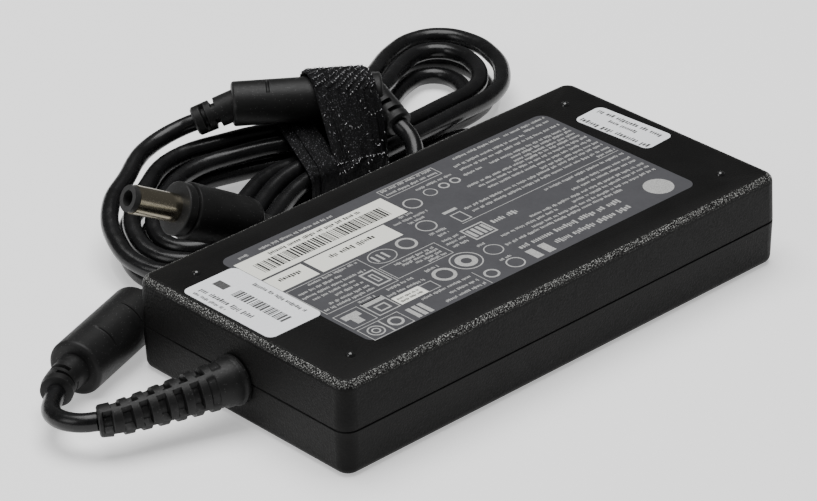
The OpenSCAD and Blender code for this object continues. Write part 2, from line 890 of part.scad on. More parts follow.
module plug_grip() {
    color("#1c1c1e") {
        place_plug()
            difference() {
                union() {
                    cylinder(h = grip_ring - 0.5, d = grip_d - 0.8, $fn = 48);
                    cylinder(h = grip_l - 1.5, d = grip_d - 1.4, $fn = 48);
                    translate([0, 0, grip_ring])
                        cylinder(h = grip_l - grip_ring - 1.5, d = grip_d, $fn = 48);
                    cylinder(h = grip_l, d = grip_d - 3, $fn = 48);
                }
                translate([0, 0, -1])
                    cylinder(h = barrel_sunk + 1, d = barrel_shank_d, $fn = 48);
            }
        along(plug_front + (grip_l - 1) * plug_axis, plug_axis) {
            cylinder(h = grip_relief_l + 1, d = neck_d - 2.4, $fn = 48);
            cylinder(h = grip_relief_l / 2, d = neck_d - 1.4, $fn = 48);
        }
    }
}

barrel_sunk = 6;
barrel_shank_d = barrel_d - 0.8;
module plug_barrel() {
    color("#aaa082")
        place_plug()
            translate([0, 0, -barrel_l])
                difference() {
                    union() {
                        cylinder(h = barrel_l, d = barrel_d, $fn = 48);
                        cylinder(h = barrel_l + barrel_sunk, d = barrel_shank_d, $fn = 48);
                    }
                    translate([0, 0, -1])
                        cylinder(h = barrel_l + barrel_sunk - 1, d = barrel_bore, $fn = 48);
                }
}

tip_ring_d = barrel_d - 0.5;
tip_ring_bore = barrel_bore - 1;
module plug_tip_ring() {
    color("#0d0d0f")
        place_plug()
            translate([0, 0, -barrel_l - tip_ring_l])
                difference() {
                    union() {
                        cylinder(h = tip_ring_l, d = tip_ring_d, $fn = 48);
                        cylinder(h = tip_ring_l + barrel_l - 2, d = barrel_bore - 0.04, $fn = 48);
                    }
                    translate([0, 0, -1])
                        cylinder(h = tip_ring_l + barrel_l + 2, d = tip_ring_bore, $fn = 48);
                }
}

module plug_centre_pin() {
    color("#b8a878")
        place_plug()
            translate([0, 0, -barrel_l + 1])
                cylinder(h = barrel_l - 1 + barrel_sunk - 2, d = centre_pin_d, $fn = 32);
}

// ---- Free stretches of the cord, each along points chosen by hand ----
relief_tip = relief_points[relief_steps];
bend_route = [relief_tip, [-111.08, 14.79, 8.9], [-112.58, 17.5, 8.6], [-113.17, 20.54, 8.25],
    [-112.84, 23.45, 7.9], [-111.58, 26.28, 7.55], choke_back_neck + 1.2 * cord_d * back_neck_axis,
    choke_back_neck];
link_route = [choke_front_neck, choke_front_neck + cord_d * choke_axis, [-52.2, 51.9, 6.4], [-47.5, 49.4, 4.9],
    [-42.6, 45.6, 3.5], [-37, 42.5, 2.7], [-30, 41.1, 2.5], [-9, 40.9, 2.5], [12, 40.9, 2.5],
    [35, 40.9, 2.5], [57.5, 40.9, 2.5],
    [63.3, 42.5, 2.5], [67.5, 46.7, 2.5], [69.1, 52.5, 2.6], [67.5, 58.3, 3], [63.3, 62.5, 3.5], [58.5, 64, 4],
    hank_in - cord_d * hank_in_axis, hank_in];
tail_route = [hank_out, hank_out + cord_d * hank_out_axis, [-17.4, 102.3, 15.2], [-12.2, 103, 15.9],
    bead_back_neck + cord_d * bead_back_axis, bead_back_neck];
end_route = [grip_exit, grip_exit + cord_d * plug_axis, [-5.8, 42.9, 7.8], [3, 43, 8.3],
    [12.6, 43.4, 9.6], [20, 44.4, 10.8], [26.8, 47.4, 12.4], [31.6, 51.3, 14.4],
    bead_front_neck + cord_d * bead_front_axis, bead_front_neck];

module cord_bend() {
    plain_cord(bend_route);
}

module cord_link() {
    plain_cord(link_route);
}

module cord_tail() {
    plain_cord(tail_route);
}

module cord_end() {
    plain_cord(end_route);
}

// ---- Hook-and-loop tie, drawn taut round the strands and the small choke ----
tie_centre = [26, 75.7];
tie_angle = -23;
tie_sections = 4;
tie_sides = 40;
tie_clear = 0.6;
tie_axis = heading(tie_angle);
tie_side = heading(tie_angle + 90);
function from_tie(p) = let (d = p - [tie_centre[0], tie_centre[1], 0])
    [d * tie_axis, d * tie_side, p[2]];
hank_from_tie = [for (p = hank_loops) from_tie(p)];
neck_from_tie = [for (d = [0:3:9]) from_tie(bead_front_root + d * bead_front_axis)];
bead_ends_from_tie = [from_tie(bead_start), from_tie(bead_start + bead_l * bead_axis)];

// Where the piece from a to b crosses the plane at x: [side, height, half width, half height]
function crossing(a, b, x, r) = let (f = (x - a[0]) / (b[0] - a[0]), c = a + f * (b - a), t = unit(b - a))
    [c[1], c[2], r / norm([t[0], t[2]]), r / norm([t[0], t[1]])];
function ball(c, x, r) = let (s = sqrt(r * r - (c[0] - x) * (c[0] - x))) [c[1], c[2], s, s];
function tied(x) = concat(
    [for (c = neck_from_tie) if (abs(c[0] - x) < neck_d / 2) ball(c, x, neck_d / 2)],
    [for (i = [0:hank_last - 1]) let (a = hank_from_tie[i], b = hank_from_tie[i + 1])
        if ((a[0] - x) * (b[0] - x) < 0) crossing(a, b, x, cord_r)],
    [crossing(bead_ends_from_tie[0], bead_ends_from_tie[1], x, bead_d / 2)]);
function reach(x, a) = max([for (p = tied(x))
    p[0] * cos(a) + p[1] * sin(a) + norm([p[2] * cos(a), p[3] * sin(a)])]);
function tie_corner(x, k, grow) = let (
        turn = 360 / tie_sides,
        a = k * turn,
        here = reach(x, a) + grow,
        next = reach(x, a + turn) + grow,
        slide = (next - here * cos(turn)) / sin(turn))
    [here * cos(a) - slide * sin(a), here * sin(a) + slide * cos(a)];
function tie_ring(x, grow) = [for (k = [0:tie_sides - 1]) let (c = tie_corner(x, k, grow))
    [tie_centre[0] + x * cos(tie_angle) - c[0] * sin(tie_angle),
        tie_centre[1] + x * sin(tie_angle) + c[0] * cos(tie_angle), c[1]]];
tie_places = [for (i = [0:tie_sections]) tie_w * (i / tie_sections - 0.5)];

module hook_and_loop_tie() {
    n = tie_sides;
    m = tie_sections + 1;
    inner = m * n;
    flipped = [for (f = side_faces(m, n, inner)) [f[0], f[2], f[1]]];
    ends = [for (k = [0:n - 1]) let (j = (k + 1) % n, last = (m - 1) * n)
        each [[k, j, inner + j], [k, inner + j, inner + k],
            [last + k, inner + last + j, last + j], [last + k, inner + last + k, inner + last + j]]];
    color("#0f0f11")
        polyhedron(concat(
                [for (x = tie_places) each tie_ring(x, tie_clear + tie_t)],
                [for (x = tie_places) each tie_ring(x, tie_clear)]),
            concat(side_faces(m, n, 0), flipped, ends), convexity = 6);
}

top_shell();
bottom_shell();
rating_label();
part_sticker_plate();
test_sticker_plate();
small_feet();
inlet_socket();
inlet_pins();
inlet_leads();
circuit_board();
insulating_sheet();
heat_spreader();
fuse();
surge_thermistor();
filter_capacitor();
line_choke_core();
line_choke_winding();
safety_capacitors();
bridge_rectifier();
primary_heatsink();
power_transistors();
boost_choke_core();
boost_choke_winding();
bulk_capacitor();
transformer_core();
transformer_winding();
control_chips();
output_heatsink();
output_rectifiers();
output_choke_core();
output_choke_winding();
output_capacitors();
output_leads();
output_relief();
cord_bend();
large_choke_case();
large_choke_core();
cord_link();
cord_hank();
cord_tail();
small_choke_case();
small_choke_core();
cord_end();
plug_grip();
plug_barrel();
plug_tip_ring();
plug_centre_pin();
hook_and_loop_tie();
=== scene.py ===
"""Looks of a slim laptop power adapter with its low-voltage lead wound in a hank.

Everything is in metres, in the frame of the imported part: origin at the middle of the housing's
underside, +X along the housing to the mains inlet, +Y towards the hank, +Z up.
"""

import json
import math
import random

import bpy
from mathutils import Matrix, Vector


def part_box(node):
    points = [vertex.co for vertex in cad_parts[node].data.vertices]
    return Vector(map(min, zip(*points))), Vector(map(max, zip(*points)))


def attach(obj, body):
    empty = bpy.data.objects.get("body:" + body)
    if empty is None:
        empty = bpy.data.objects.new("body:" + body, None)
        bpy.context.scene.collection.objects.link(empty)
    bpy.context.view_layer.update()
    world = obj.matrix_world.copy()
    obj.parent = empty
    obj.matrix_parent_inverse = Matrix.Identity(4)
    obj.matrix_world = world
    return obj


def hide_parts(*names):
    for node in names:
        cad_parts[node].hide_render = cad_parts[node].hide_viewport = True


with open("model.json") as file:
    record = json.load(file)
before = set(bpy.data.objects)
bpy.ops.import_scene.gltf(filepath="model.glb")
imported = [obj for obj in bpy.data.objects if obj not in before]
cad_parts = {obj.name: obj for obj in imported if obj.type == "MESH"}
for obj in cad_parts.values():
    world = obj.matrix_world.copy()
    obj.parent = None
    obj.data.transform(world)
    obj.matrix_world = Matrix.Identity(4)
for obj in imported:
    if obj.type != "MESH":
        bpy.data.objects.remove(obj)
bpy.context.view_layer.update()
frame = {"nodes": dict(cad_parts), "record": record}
nodes = frame["nodes"]
MM = 0.001


# ---------------- camera, floor and light
CAMERA_PLACE = Vector((-0.594478, -0.623390, 0.494870))
CAMERA_RIGHT = Vector((0.72772185, -0.68563148, -0.01817638))
CAMERA_FORWARD = Vector((0.59345645, 0.64273161, -0.48446416))
CAMERA_LENS = 173.98
SENSOR_WIDTH = 36
FLOOR_DROP = 0.00015
FLOOR_REACH = 6.0
FLOOR_GLOW = 0.5
SKY_GLOW = 0.12


def add_camera():
    data = bpy.data.cameras.new("camera")
    data.sensor_width = SENSOR_WIDTH
    data.lens = CAMERA_LENS
    data.clip_start = 0.05
    data.clip_end = 30
    camera = bpy.data.objects.new("camera", data)
    bpy.context.scene.collection.objects.link(camera)
    back = -CAMERA_FORWARD.normalized()
    right = CAMERA_RIGHT.normalized()
    up = back.cross(right).normalized()
    turn = Matrix((right, up, back)).transposed().to_4x4()
    camera.matrix_world = Matrix.Translation(CAMERA_PLACE) @ turn
    bpy.context.scene.camera = camera


def add_area_light(name, place, target, size, power):
    data = bpy.data.lights.new(name, "AREA")
    data.shape = "SQUARE"
    data.size = size
    data.energy = power
    lamp = bpy.data.objects.new(name, data)
    bpy.context.scene.collection.objects.link(lamp)
    lamp.location = place
    lamp.rotation_mode = "QUATERNION"
    lamp.rotation_quaternion = (Vector(target) - Vector(place)).to_track_quat("-Z", "Y")


def add_floor():
    mesh = bpy.data.meshes.new("floor")
    r = FLOOR_REACH
    z = -FLOOR_DROP
    mesh.from_pydata([(-r, -r, z), (r, -r, z), (r, r, z), (-r, r, z)], [], [(0, 1, 2, 3)])
    floor = bpy.data.objects.new("floor", mesh)
    bpy.context.scene.collection.objects.link(floor)
    mat, shader = new_material("pale_floor")
    shader.inputs["Base Color"].default_value = (0.86, 0.86, 0.86, 1)
    shader.inputs["Roughness"].default_value = 0.9
    shader.inputs["Emission Color"].default_value = (1, 1, 1, 1)
    shader.inputs["Emission Strength"].default_value = FLOOR_GLOW
    mesh.materials.append(mat)


def add_world():
    world = bpy.data.worlds.new("studio")
    world.use_nodes = True
    background = world.node_tree.nodes["Background"]
    background.inputs["Color"].default_value = (1, 1, 1, 1)
    background.inputs["Strength"].default_value = SKY_GLOW
    bpy.context.scene.world = world


def add_lights():
    add_area_light("overhead", (0.05, 0.15, 1.3), (0, 0.03, 0), 1.1, 26)
    add_area_light("left_fill", (-1.3, 0.3, 0.8), (0, 0.05, 0), 0.7, 5)


# ---------------- materials
WAVE_PERIOD = 0.31415  # of the wave texture's bands at scale 1
# height band of the housing's rounded top rim, where the painted highlight glints go
GLINT_BAND_LOW = 20.5 * MM
GLINT_BAND_HIGH = 21.2 * MM


def new_material(name):
    mat = bpy.data.materials.new(name)
    mat.use_nodes = True
    return mat, mat.node_tree.nodes["Principled BSDF"]


class Shade:
    """A material's nodes, with short calls for the ones that this scene uses."""

    def __init__(self, name, roughness=0.5, metallic=0.0, specular=0.5):
        self.mat, self.shader = new_material(name)
        self.tree = self.mat.node_tree
        self.shader.inputs["Roughness"].default_value = roughness
        self.shader.inputs["Metallic"].default_value = metallic
        self.shader.inputs["Specular IOR Level"].default_value = specular
        self.place = self.node("ShaderNodeTexCoord").outputs["Object"]
        self.last_normal = None

    def node(self, kind, **settings):
        made = self.tree.nodes.new(kind)
        for key, value in settings.items():
            setattr(made, key, value)
        return made

    def link(self, out, into):
        self.tree.links.new(out, into)

    def noise(self, size, detail=3.0, stretch=None):
        made = self.node("ShaderNodeTexNoise")
        made.inputs["Scale"].default_value = 1 / size
        made.inputs["Detail"].default_value = detail
        self.link(self.scaled(stretch) if stretch else self.place, made.inputs["Vector"])
        return made.outputs["Fac"]

    def cells(self, size, feature="F1"):
        made = self.node("ShaderNodeTexVoronoi", feature=feature)
        made.inputs["Scale"].default_value = 1 / size
        self.link(self.place, made.inputs["Vector"])
        return made.outputs["Distance"]

    def waves(self, size, direction, distortion):
        made = self.node("ShaderNodeTexWave", bands_direction=direction)
        made.inputs["Scale"].default_value = WAVE_PERIOD / size
        made.inputs["Distortion"].default_value = distortion
        self.link(self.place, made.inputs["Vector"])
        return made.outputs["Fac"]

    def scaled(self, stretch):
        made = self.node("ShaderNodeMapping")
        made.inputs["Scale"].default_value = stretch
        self.link(self.place, made.inputs["Vector"])
        return made.outputs["Vector"]

    def span(self, value, low, high, to_low=0.0, to_high=1.0):
        made = self.node("ShaderNodeMapRange")
        self.link(value, made.inputs["Value"])
        made.inputs["From Min"].default_value = low
        made.inputs["From Max"].default_value = high
        made.inputs["To Min"].default_value = to_low
        made.inputs["To Max"].default_value = to_high
        return made.outputs["Result"]

    def product(self, a, b):
        made = self.node("ShaderNodeMath", operation="MULTIPLY")
        self.link(a, made.inputs[0])
        self.link(b, made.inputs[1])
        return made.outputs[0]

    def z_of(self, vector):
        made = self.node("ShaderNodeSeparateXYZ")
        self.link(vector, made.inputs[0])
        return made.outputs["Z"]

    def up_facing(self):
        return self.z_of(self.node("ShaderNodeNewGeometry").outputs["Normal"])

    def height(self):
        return self.z_of(self.place)

    def edges(self):
        return self.node("ShaderNodeNewGeometry").outputs["Pointiness"]

    def mix(self, factor, first, second):
        made = self.node("ShaderNodeMix", data_type="RGBA")
        self.link(factor, made.inputs[0])
        for socket, value in ((made.inputs[6], first), (made.inputs[7], second)):
            if isinstance(value, tuple):
                socket.default_value = (*value, 1)
            else:
                self.link(value, socket)
        return made.outputs[2]

    def colour(self, value):
        self.link(value, self.shader.inputs["Base Color"])

    def rough(self, value):
        self.link(value, self.shader.inputs["Roughness"])

    def rough_patches(self, size, low, high, detail=3.0):
        """Roughness that wanders between low and high in patches of this size."""
        self.rough(self.span(self.noise(size, detail), 0.3, 0.7, low, high))

    def bump(self, height, depth):
        made = self.node("ShaderNodeBump")
        made.inputs["Distance"].default_value = depth
        self.link(height, made.inputs["Height"])
        if self.last_normal:
            self.link(self.last_normal, made.inputs["Normal"])
        self.last_normal = made.outputs["Normal"]
        self.link(self.last_normal, self.shader.inputs["Normal"])


def dim(colour, share):
    return tuple(channel * share for channel in colour)


def shell_plastic():
    """Spark-grained black plastic, a little paler where the edges are rubbed, with painted highlight
    glints along the rounded top rim.
    """
    made = Shade("shell_plastic", specular=0.09)
    base = (0.0056, 0.0055, 0.0054)
    tone = made.mix(made.span(made.noise(9 * MM), 0.35, 0.65), dim(base, 0.86), dim(base, 1.16))
    tone = made.mix(made.span(made.edges(), 0.53, 0.6), tone, dim(base, 2.2))
    up = made.up_facing()
    # painted highlight glints: pale flecks on the rounded top rim, where the normal lies between up and
    # side, standing in for the overhead light's highlight broken up by the grain
    glint_band = made.product(made.span(up, 0.3, 0.62), made.span(up, 0.995, 0.93))
    glint_band = made.product(glint_band, made.span(made.height(), GLINT_BAND_LOW, GLINT_BAND_HIGH))
    painted_glints = made.product(glint_band, made.span(made.noise(0.3 * MM, 2), 0.52, 0.7))
    made.colour(made.mix(painted_glints, tone, (0.44, 0.44, 0.425)))
    made.rough_patches(0.5 * MM, 0.38, 0.56, 2)
    made.bump(made.noise(0.55 * MM, 3), 0.11 * MM)
    made.bump(made.noise(0.2 * MM, 2), 0.03 * MM)
    return made.mat


def dome_plastic():
    """Glossy plastic of the small feet."""
    made = Shade("dome_plastic", specular=0.6)
    made.colour(made.mix(made.noise(0.4 * MM), (0.006, 0.006, 0.006), (0.012, 0.012, 0.012)))
    made.rough_patches(0.3 * MM, 0.1, 0.2)
    return made.mat


def label_film():
    """Satin printed film, faintly mottled."""
    made = Shade("label_film", specular=0.3)
    base = (0.060, 0.060, 0.066)
    made.colour(made.mix(made.span(made.noise(6 * MM), 0.3, 0.7), dim(base, 0.93), dim(base, 1.06)))
    made.rough_patches(1.2 * MM, 0.42, 0.52)
    made.bump(made.noise(3 * MM), 0.02 * MM)
    return made.mat


def sticker_paper():
    """Coated white paper with short fibres."""
    made = Shade("sticker_paper", specular=0.3)
    fibre = made.noise(0.35 * MM, 4, (1, 0.35, 1))
    made.colour(made.mix(made.span(fibre, 0.35, 0.65), (0.80, 0.815, 0.84), (0.86, 0.87, 0.89)))
    made.rough_patches(1.5 * MM, 0.45, 0.6)
    made.bump(fibre, 0.006 * MM)
    return made.mat


def ink(name, base, spread):
    """Printed ink, thin and a little uneven."""
    made = Shade(name, roughness=0.5, specular=0.3)
    made.colour(made.mix(made.span(made.noise(0.3 * MM, 4), 0.35, 0.65), dim(base, 1 - spread), base))
    made.rough_patches(0.6 * MM, 0.45, 0.6)
    return made.mat


def overmould_plastic():
    """Semi-matte moulded plastic with a fine grain and pale flecks."""
    made = Shade("overmould_plastic", specular=0.2)
    base = (0.0095, 0.0095, 0.0095)
    tone = made.mix(made.span(made.noise(5 * MM), 0.35, 0.65), dim(base, 0.85), dim(base, 1.2))
    tone = made.mix(made.span(made.edges(), 0.52, 0.58), tone, dim(base, 2.4))
    fleck = made.span(made.cells(0.75 * MM), 0.14, 0.08)
    made.colour(made.mix(fleck, tone, (0.085, 0.085, 0.085)))
    made.rough_patches(0.6 * MM, 0.4, 0.52)
    made.bump(made.noise(0.35 * MM, 3), 0.035 * MM)
    return made.mat


def cord_jacket():
    """Smooth extruded jacket: glossy, with faint long waves and a little dust."""
    made = Shade("cord_jacket", specular=0.32)
    base = (0.0055, 0.0055, 0.0058)
    dust = made.span(made.cells(0.9 * MM), 0.09, 0.05)
    tone = made.mix(made.span(made.noise(8 * MM), 0.35, 0.65), dim(base, 0.8), dim(base, 1.5))
    made.colour(made.mix(dust, tone, (0.05, 0.05, 0.05)))
    made.rough_patches(2.5 * MM, 0.2, 0.33, 4)
    made.bump(made.noise(2.2 * MM, 2), 0.03 * MM)
    made.bump(made.noise(0.25 * MM, 2), 0.003 * MM)
    return made.mat


def plated_barrel():
    """Nickel plating, smooth and a little uneven in tone."""
    made = Shade("plated_barrel", metallic=1.0)
    base = (0.42, 0.38, 0.29)
    made.colour(made.mix(made.noise(2.5 * MM, 2), dim(base, 0.92), base))
    made.rough_patches(1.5 * MM, 0.2, 0.25, 2)
    made.bump(made.noise(2 * MM, 1), 0.0006 * MM)
    return made.mat


def hook_and_loop():
    """Ribbed loop fabric: black yarn, with painted highlights on its raised loops where the band faces up.
    """
    made = Shade("hook_and_loop", specular=0.1)
    yarn = made.noise(0.35 * MM, 3)
    dark = made.mix(made.span(yarn, 0.4, 0.65), (0.002, 0.002, 0.002), (0.009, 0.009, 0.010))
    # painted highlight: pale specks on the loops, weighted towards where the surface faces up
    loops = made.span(made.noise(0.36 * MM, 2), 0.62, 0.7)
    loops = made.product(loops, made.span(made.up_facing(), 0.35, 0.9))
    made.colour(made.mix(loops, dark, (0.16, 0.16, 0.17)))
    made.rough(made.span(yarn, 0.3, 0.7, 0.6, 0.85))
    made.bump(yarn, 0.2 * MM)
    return made.mat


def loop_yarn_painted_glints():
    """Single yarn loops, some black and some painted pale as highlights."""
    made = Shade("loop_yarn_painted_glints", specular=0.5)
    # painted highlight: the near-white colour stands in for loops catching the light
    made.colour(made.mix(made.span(made.noise(0.6 * MM), 0.42, 0.6), (0.02, 0.02, 0.02), (0.9, 0.9, 0.92)))
    made.rough_patches(0.5 * MM, 0.35, 0.55)
    return made.mat


def grained(name, base, size, depth, roughness, metallic, spread):
    """An even colour with its own grain; the grain's size and depth are in millimetres."""
    made = Shade(name, metallic=metallic)
    size *= MM
    made.colour(made.mix(made.span(made.noise(size, 4), 0.3, 0.7), dim(base, 1 - spread), base))
    made.rough_patches(size * 2, roughness * 0.85, roughness * 1.15)
    made.bump(made.noise(size, 3), depth * MM)
    return made.mat


def enamelled_wire():
    """Turns of wire, shown as fine ridges."""
    made = Shade("enamelled_wire", metallic=1.0)
    turns = made.waves(0.7 * MM, "DIAGONAL", 0.4)
    made.colour(made.mix(turns, (0.28, 0.1, 0.03), (0.75, 0.34, 0.14)))
    made.rough(made.span(turns, 0, 1, 0.4, 0.22))
    made.bump(turns, 0.2 * MM)
    return made.mat


def circuit_board_material():
    """Green solder resist over traces."""
    made = Shade("solder_resist", specular=0.5)
    trace = made.span(made.cells(4 * MM, "DISTANCE_TO_EDGE"), 0.08, 0.12)
    made.colour(made.mix(trace, (0.02, 0.16, 0.05), (0.012, 0.09, 0.03)))
    made.rough_patches(2 * MM, 0.3, 0.42)
    made.bump(trace, 0.03 * MM)
    return made.mat


MATERIALS = {
    "shell": shell_plastic,
    "foot": dome_plastic,
    "label": label_film,
    "sticker": sticker_paper,
    "copper": enamelled_wire,
    "board": circuit_board_material,
    "overmould": overmould_plastic,
    "cord": cord_jacket,
    "barrel": plated_barrel,
    "tie": hook_and_loop,
}
GRAINED = {
    "inlet_plastic": ("inlet_plastic", (0.011, 0.011, 0.012), 0.5, 0.02, 0.42, 0, 0.25),
    "contact": ("plated_contact", (0.8, 0.68, 0.4), 0.6, 0.004, 0.25, 1, 0.15),
    "sheet": ("insulating_film", (0.55, 0.5, 0.38), 2, 0.01, 0.4, 0, 0.12),
    "sink": ("rolled_aluminium", (0.76, 0.77, 0.78), 0.4, 0.006, 0.34, 1, 0.1),
    "ceramic_part": ("glazed_ceramic", (0.5, 0.5, 0.46), 1, 0.01, 0.25, 0, 0.15),
    "blue_part": ("blue_epoxy", (0.02, 0.1, 0.4), 1, 0.03, 0.28, 0, 0.25),
    "film_part": ("yellow_film_box", (0.65, 0.4, 0.05), 1.2, 0.01, 0.35, 0, 0.15),
    "ferrite": ("ferrite", (0.05, 0.05, 0.055), 0.3, 0.02, 0.5, 0, 0.4),
    "can": ("shrink_sleeve", (0.015, 0.025, 0.07), 1.5, 0.01, 0.3, 0, 0.25),
    "chip": ("chip_moulding", (0.012, 0.012, 0.013), 0.25, 0.012, 0.55, 0, 0.25),
    "wire": ("wire_insulation", (0.3, 0.015, 0.012), 0.8, 0.006, 0.38, 0, 0.2),
}
made_materials = {}


def material_of(slot):
    if slot not in made_materials:
        made_materials[slot] = grained(*GRAINED[slot]) if slot in GRAINED else MATERIALS[slot]()
    return made_materials[slot]


def dress_nodes():
    for part in frame["record"]["subparts"]:
        mesh = nodes[part["node"]].data
        mesh.materials.clear()
        mesh.materials.append(material_of(part["material_slot"]))


# ---------------- vector helpers
def heading(degrees):
    return Vector((math.cos(math.radians(degrees)), math.sin(math.radians(degrees)), 0))


def unit(x, y, z):
    return Vector((x, y, z)).normalized()


def points(*places):
    return [Vector(p) for p in places]


def clamp(value, low=0.0, high=1.0):
    return max(low, min(high, value))


def smooth_step(value):
    t = clamp(value)
    return t * t * (3 - 2 * t)


# ---------------- places of the choke, bead and plug
CORD_D = 0.0048
CORD_R = CORD_D / 2
NECK_R = 0.0042
RELIEF_POINTS = points((-0.078, 0.0012, 0.0117), (-0.083, 0.0028, 0.0112), (-0.0905, 0.0052, 0.0105),
                       (-0.1003, 0.0083, 0.0098), (-0.1047, 0.01, 0.0095), (-0.1084, 0.0124, 0.0092))
RELIEF_Y = 0.001
RELIEF_ROOT_R = 0.0059
RELIEF_TIP_R = 0.0039
RELIEF_FLANGE_R = 0.0065
HOUSING_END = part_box("top_shell")[0].x

CHOKE_R = 0.0073
CHOKE_L = 0.031
CHOKE_START = Vector((-0.0951, 0.0378, CHOKE_R))
CHOKE_AXIS = heading(20)
CHOKE_FRONT_NECK_L = 0.0050
CHOKE_BACK_NECK = CHOKE_START + Vector((-0.0101, -0.0056, 0))
BACK_NECK_BEND = [CHOKE_START - 0.0036 * CHOKE_AXIS, CHOKE_START + Vector((-0.007, -0.003, 0))]
BACK_NECK_AXIS = (CHOKE_BACK_NECK - BACK_NECK_BEND[1]).normalized()
CHOKE_FRONT_NECK = CHOKE_START + (CHOKE_L + CHOKE_FRONT_NECK_L) * CHOKE_AXIS

BEAD_R = 0.006
BEAD_L = 0.040
BEAD_START = Vector((0.0056, 0.0943, 0.0229))
BEAD_AXIS = heading(-36.9)
BEAD_BACK_AXIS = unit(-0.8, 0.5, -0.33)
BEAD_FRONT_AXIS = unit(-0.1, -0.93, -0.36)
BEAD_NECK_L = 0.0105
BEAD_SUNK = 0.002
BEAD_BACK_ROOT = BEAD_START + 0.0016 * BEAD_AXIS
BEAD_FRONT_ROOT = BEAD_START + (BEAD_L - 0.0024) * BEAD_AXIS
BEAD_BACK_NECK = BEAD_BACK_ROOT + (BEAD_NECK_L + BEAD_SUNK) * BEAD_BACK_AXIS
BEAD_FRONT_NECK = BEAD_FRONT_ROOT + (BEAD_NECK_L + BEAD_SUNK) * BEAD_FRONT_AXIS

PLUG_FRONT = Vector((-0.050, 0.052, 0.029))
PLUG_AXIS = unit(0.86, -0.19, -0.45)
GRIP_R = 0.0073
GRIP_L = 0.025
GRIP_RING = 0.0032
GRIP_RELIEF_L = 0.014
GRIP_EXIT = PLUG_FRONT + (GRIP_L + GRIP_RELIEF_L) * PLUG_AXIS


# ---------------- route of the lead
HANK_CENTRE = (0.021, 0.077)
HANK_ANGLE = math.radians(3.7)
LEFT_RUN = 0.050
RIGHT_RUN = 0.0574
LEFT_HALF = 0.0218
RIGHT_HALF = 0.0243
WAIST_HALF = 0.0142
WAIST_U = -0.0012
LEFT_DRAW = 0.042
RIGHT_DRAW = 0.095
LOOP_STEP = 0.0061
LAYER_STEP = 0.0057
LAYER_SPREAD = 0.0004
WAIST_LIFT = 0.0024
FAR_LIFT = 0.0052
LEFT_BOW = -0.0034
RIGHT_BOW = 0.0067
LEFT_SWAY = 0.008
RIGHT_SWAY = 0.0003
BOW_REACH = 0.050
RUN_SHARE = 0.3
SWAY_REACH = 0.055
FAR_POWER = 1.5
SWAY_FACTOR = 3.5  # brings the largest t (1 - t^2)^2 to about one
STATIONS = 24
STRETCH = STATIONS // 4
ARC_STEP = 180 / STRETCH
HANK_FIRST = 14
HANK_TURN_BACK = 49
HANK_LAST = 106
LAYER_CHANGE = 6


def station(j, right_run):
    """One station of the racetrack: along the run, side, share of the end arc."""
    whole_run = LEFT_RUN + right_run
    if j <= STRETCH:
        return (-LEFT_RUN + whole_run * j / STRETCH, 1, 0)
    if j <= 2 * STRETCH:
        a = math.radians(90 - ARC_STEP * (j - STRETCH))
        return (right_run, math.sin(a), math.cos(a))
    if j <= 3 * STRETCH:
        return (right_run - whole_run * (j - 2 * STRETCH) / STRETCH, -1, 0)
    a = math.radians(-90 - ARC_STEP * (j - 3 * STRETCH))
    return (-LEFT_RUN, math.sin(a), math.cos(a))


def drawn(u):
    """How far the tie draws the hank in at u: one at the waist, none at the lobes."""
    reach = LEFT_DRAW if u < WAIST_U else RIGHT_DRAW
    return math.cos(math.pi / 2 * min(1, abs(u - WAIST_U) / reach)) ** 2


def swayed(u):
    """How far both runs lean aside between the waist and the lobes."""
    t = clamp((u - WAIST_U) / SWAY_REACH, -1, 1)
    return SWAY_FACTOR * (LEFT_SWAY if t < 0 else RIGHT_SWAY) * t * (1 - t * t) ** 2


def loop_inset(k):
    """How far station k lies inside the first one; the upper layer winds outwards again."""
    turn = HANK_TURN_BACK - LAYER_CHANGE // 2
    if k < turn:
        wound = k
    elif k < turn + LAYER_CHANGE:
        wound = turn
    else:
        wound = 2 * HANK_TURN_BACK - k
    return LOOP_STEP / STATIONS * wound


def hank_point(k):
    """The middle of the cord at station k of the hank."""
    run, side, arc = station((k + HANK_FIRST) % STATIONS, RIGHT_RUN - RUN_SHARE * loop_inset(k))
    w = drawn(run)
    half = LEFT_HALF if run < WAIST_U else RIGHT_HALF
    b = half - (half - WAIST_HALF) * w - loop_inset(k)
    u = run + arc * b
    v = side * b
    layer = smooth_step((k - HANK_TURN_BACK) / LAYER_CHANGE + 0.5)
    far = FAR_LIFT * (1 - smooth_step(u / BOW_REACH)) * (max(0, v) / LEFT_HALF) ** FAR_POWER
    z = CORD_R + (LAYER_STEP + LAYER_SPREAD * w) * layer + WAIST_LIFT * w + far
    bowed = v + (LEFT_BOW if u < 0 else RIGHT_BOW) * (u / BOW_REACH) ** 2 - swayed(u)
    c, s = math.cos(HANK_ANGLE), math.sin(HANK_ANGLE)
    return Vector((HANK_CENTRE[0] + u * c - bowed * s, HANK_CENTRE[1] + u * s + bowed * c, z))


HANK = [hank_point(k) for k in range(HANK_LAST + 1)]
HANK_IN_AXIS = (HANK[1] - HANK[0]).normalized()
HANK_OUT_AXIS = (HANK[-1] - HANK[-2]).normalized()
HANK_IN = HANK[0] - CORD_D * HANK_IN_AXIS
HANK_OUT = HANK[-1] + CORD_D * HANK_OUT_AXIS
RELIEF_TIP = RELIEF_POINTS[-1]

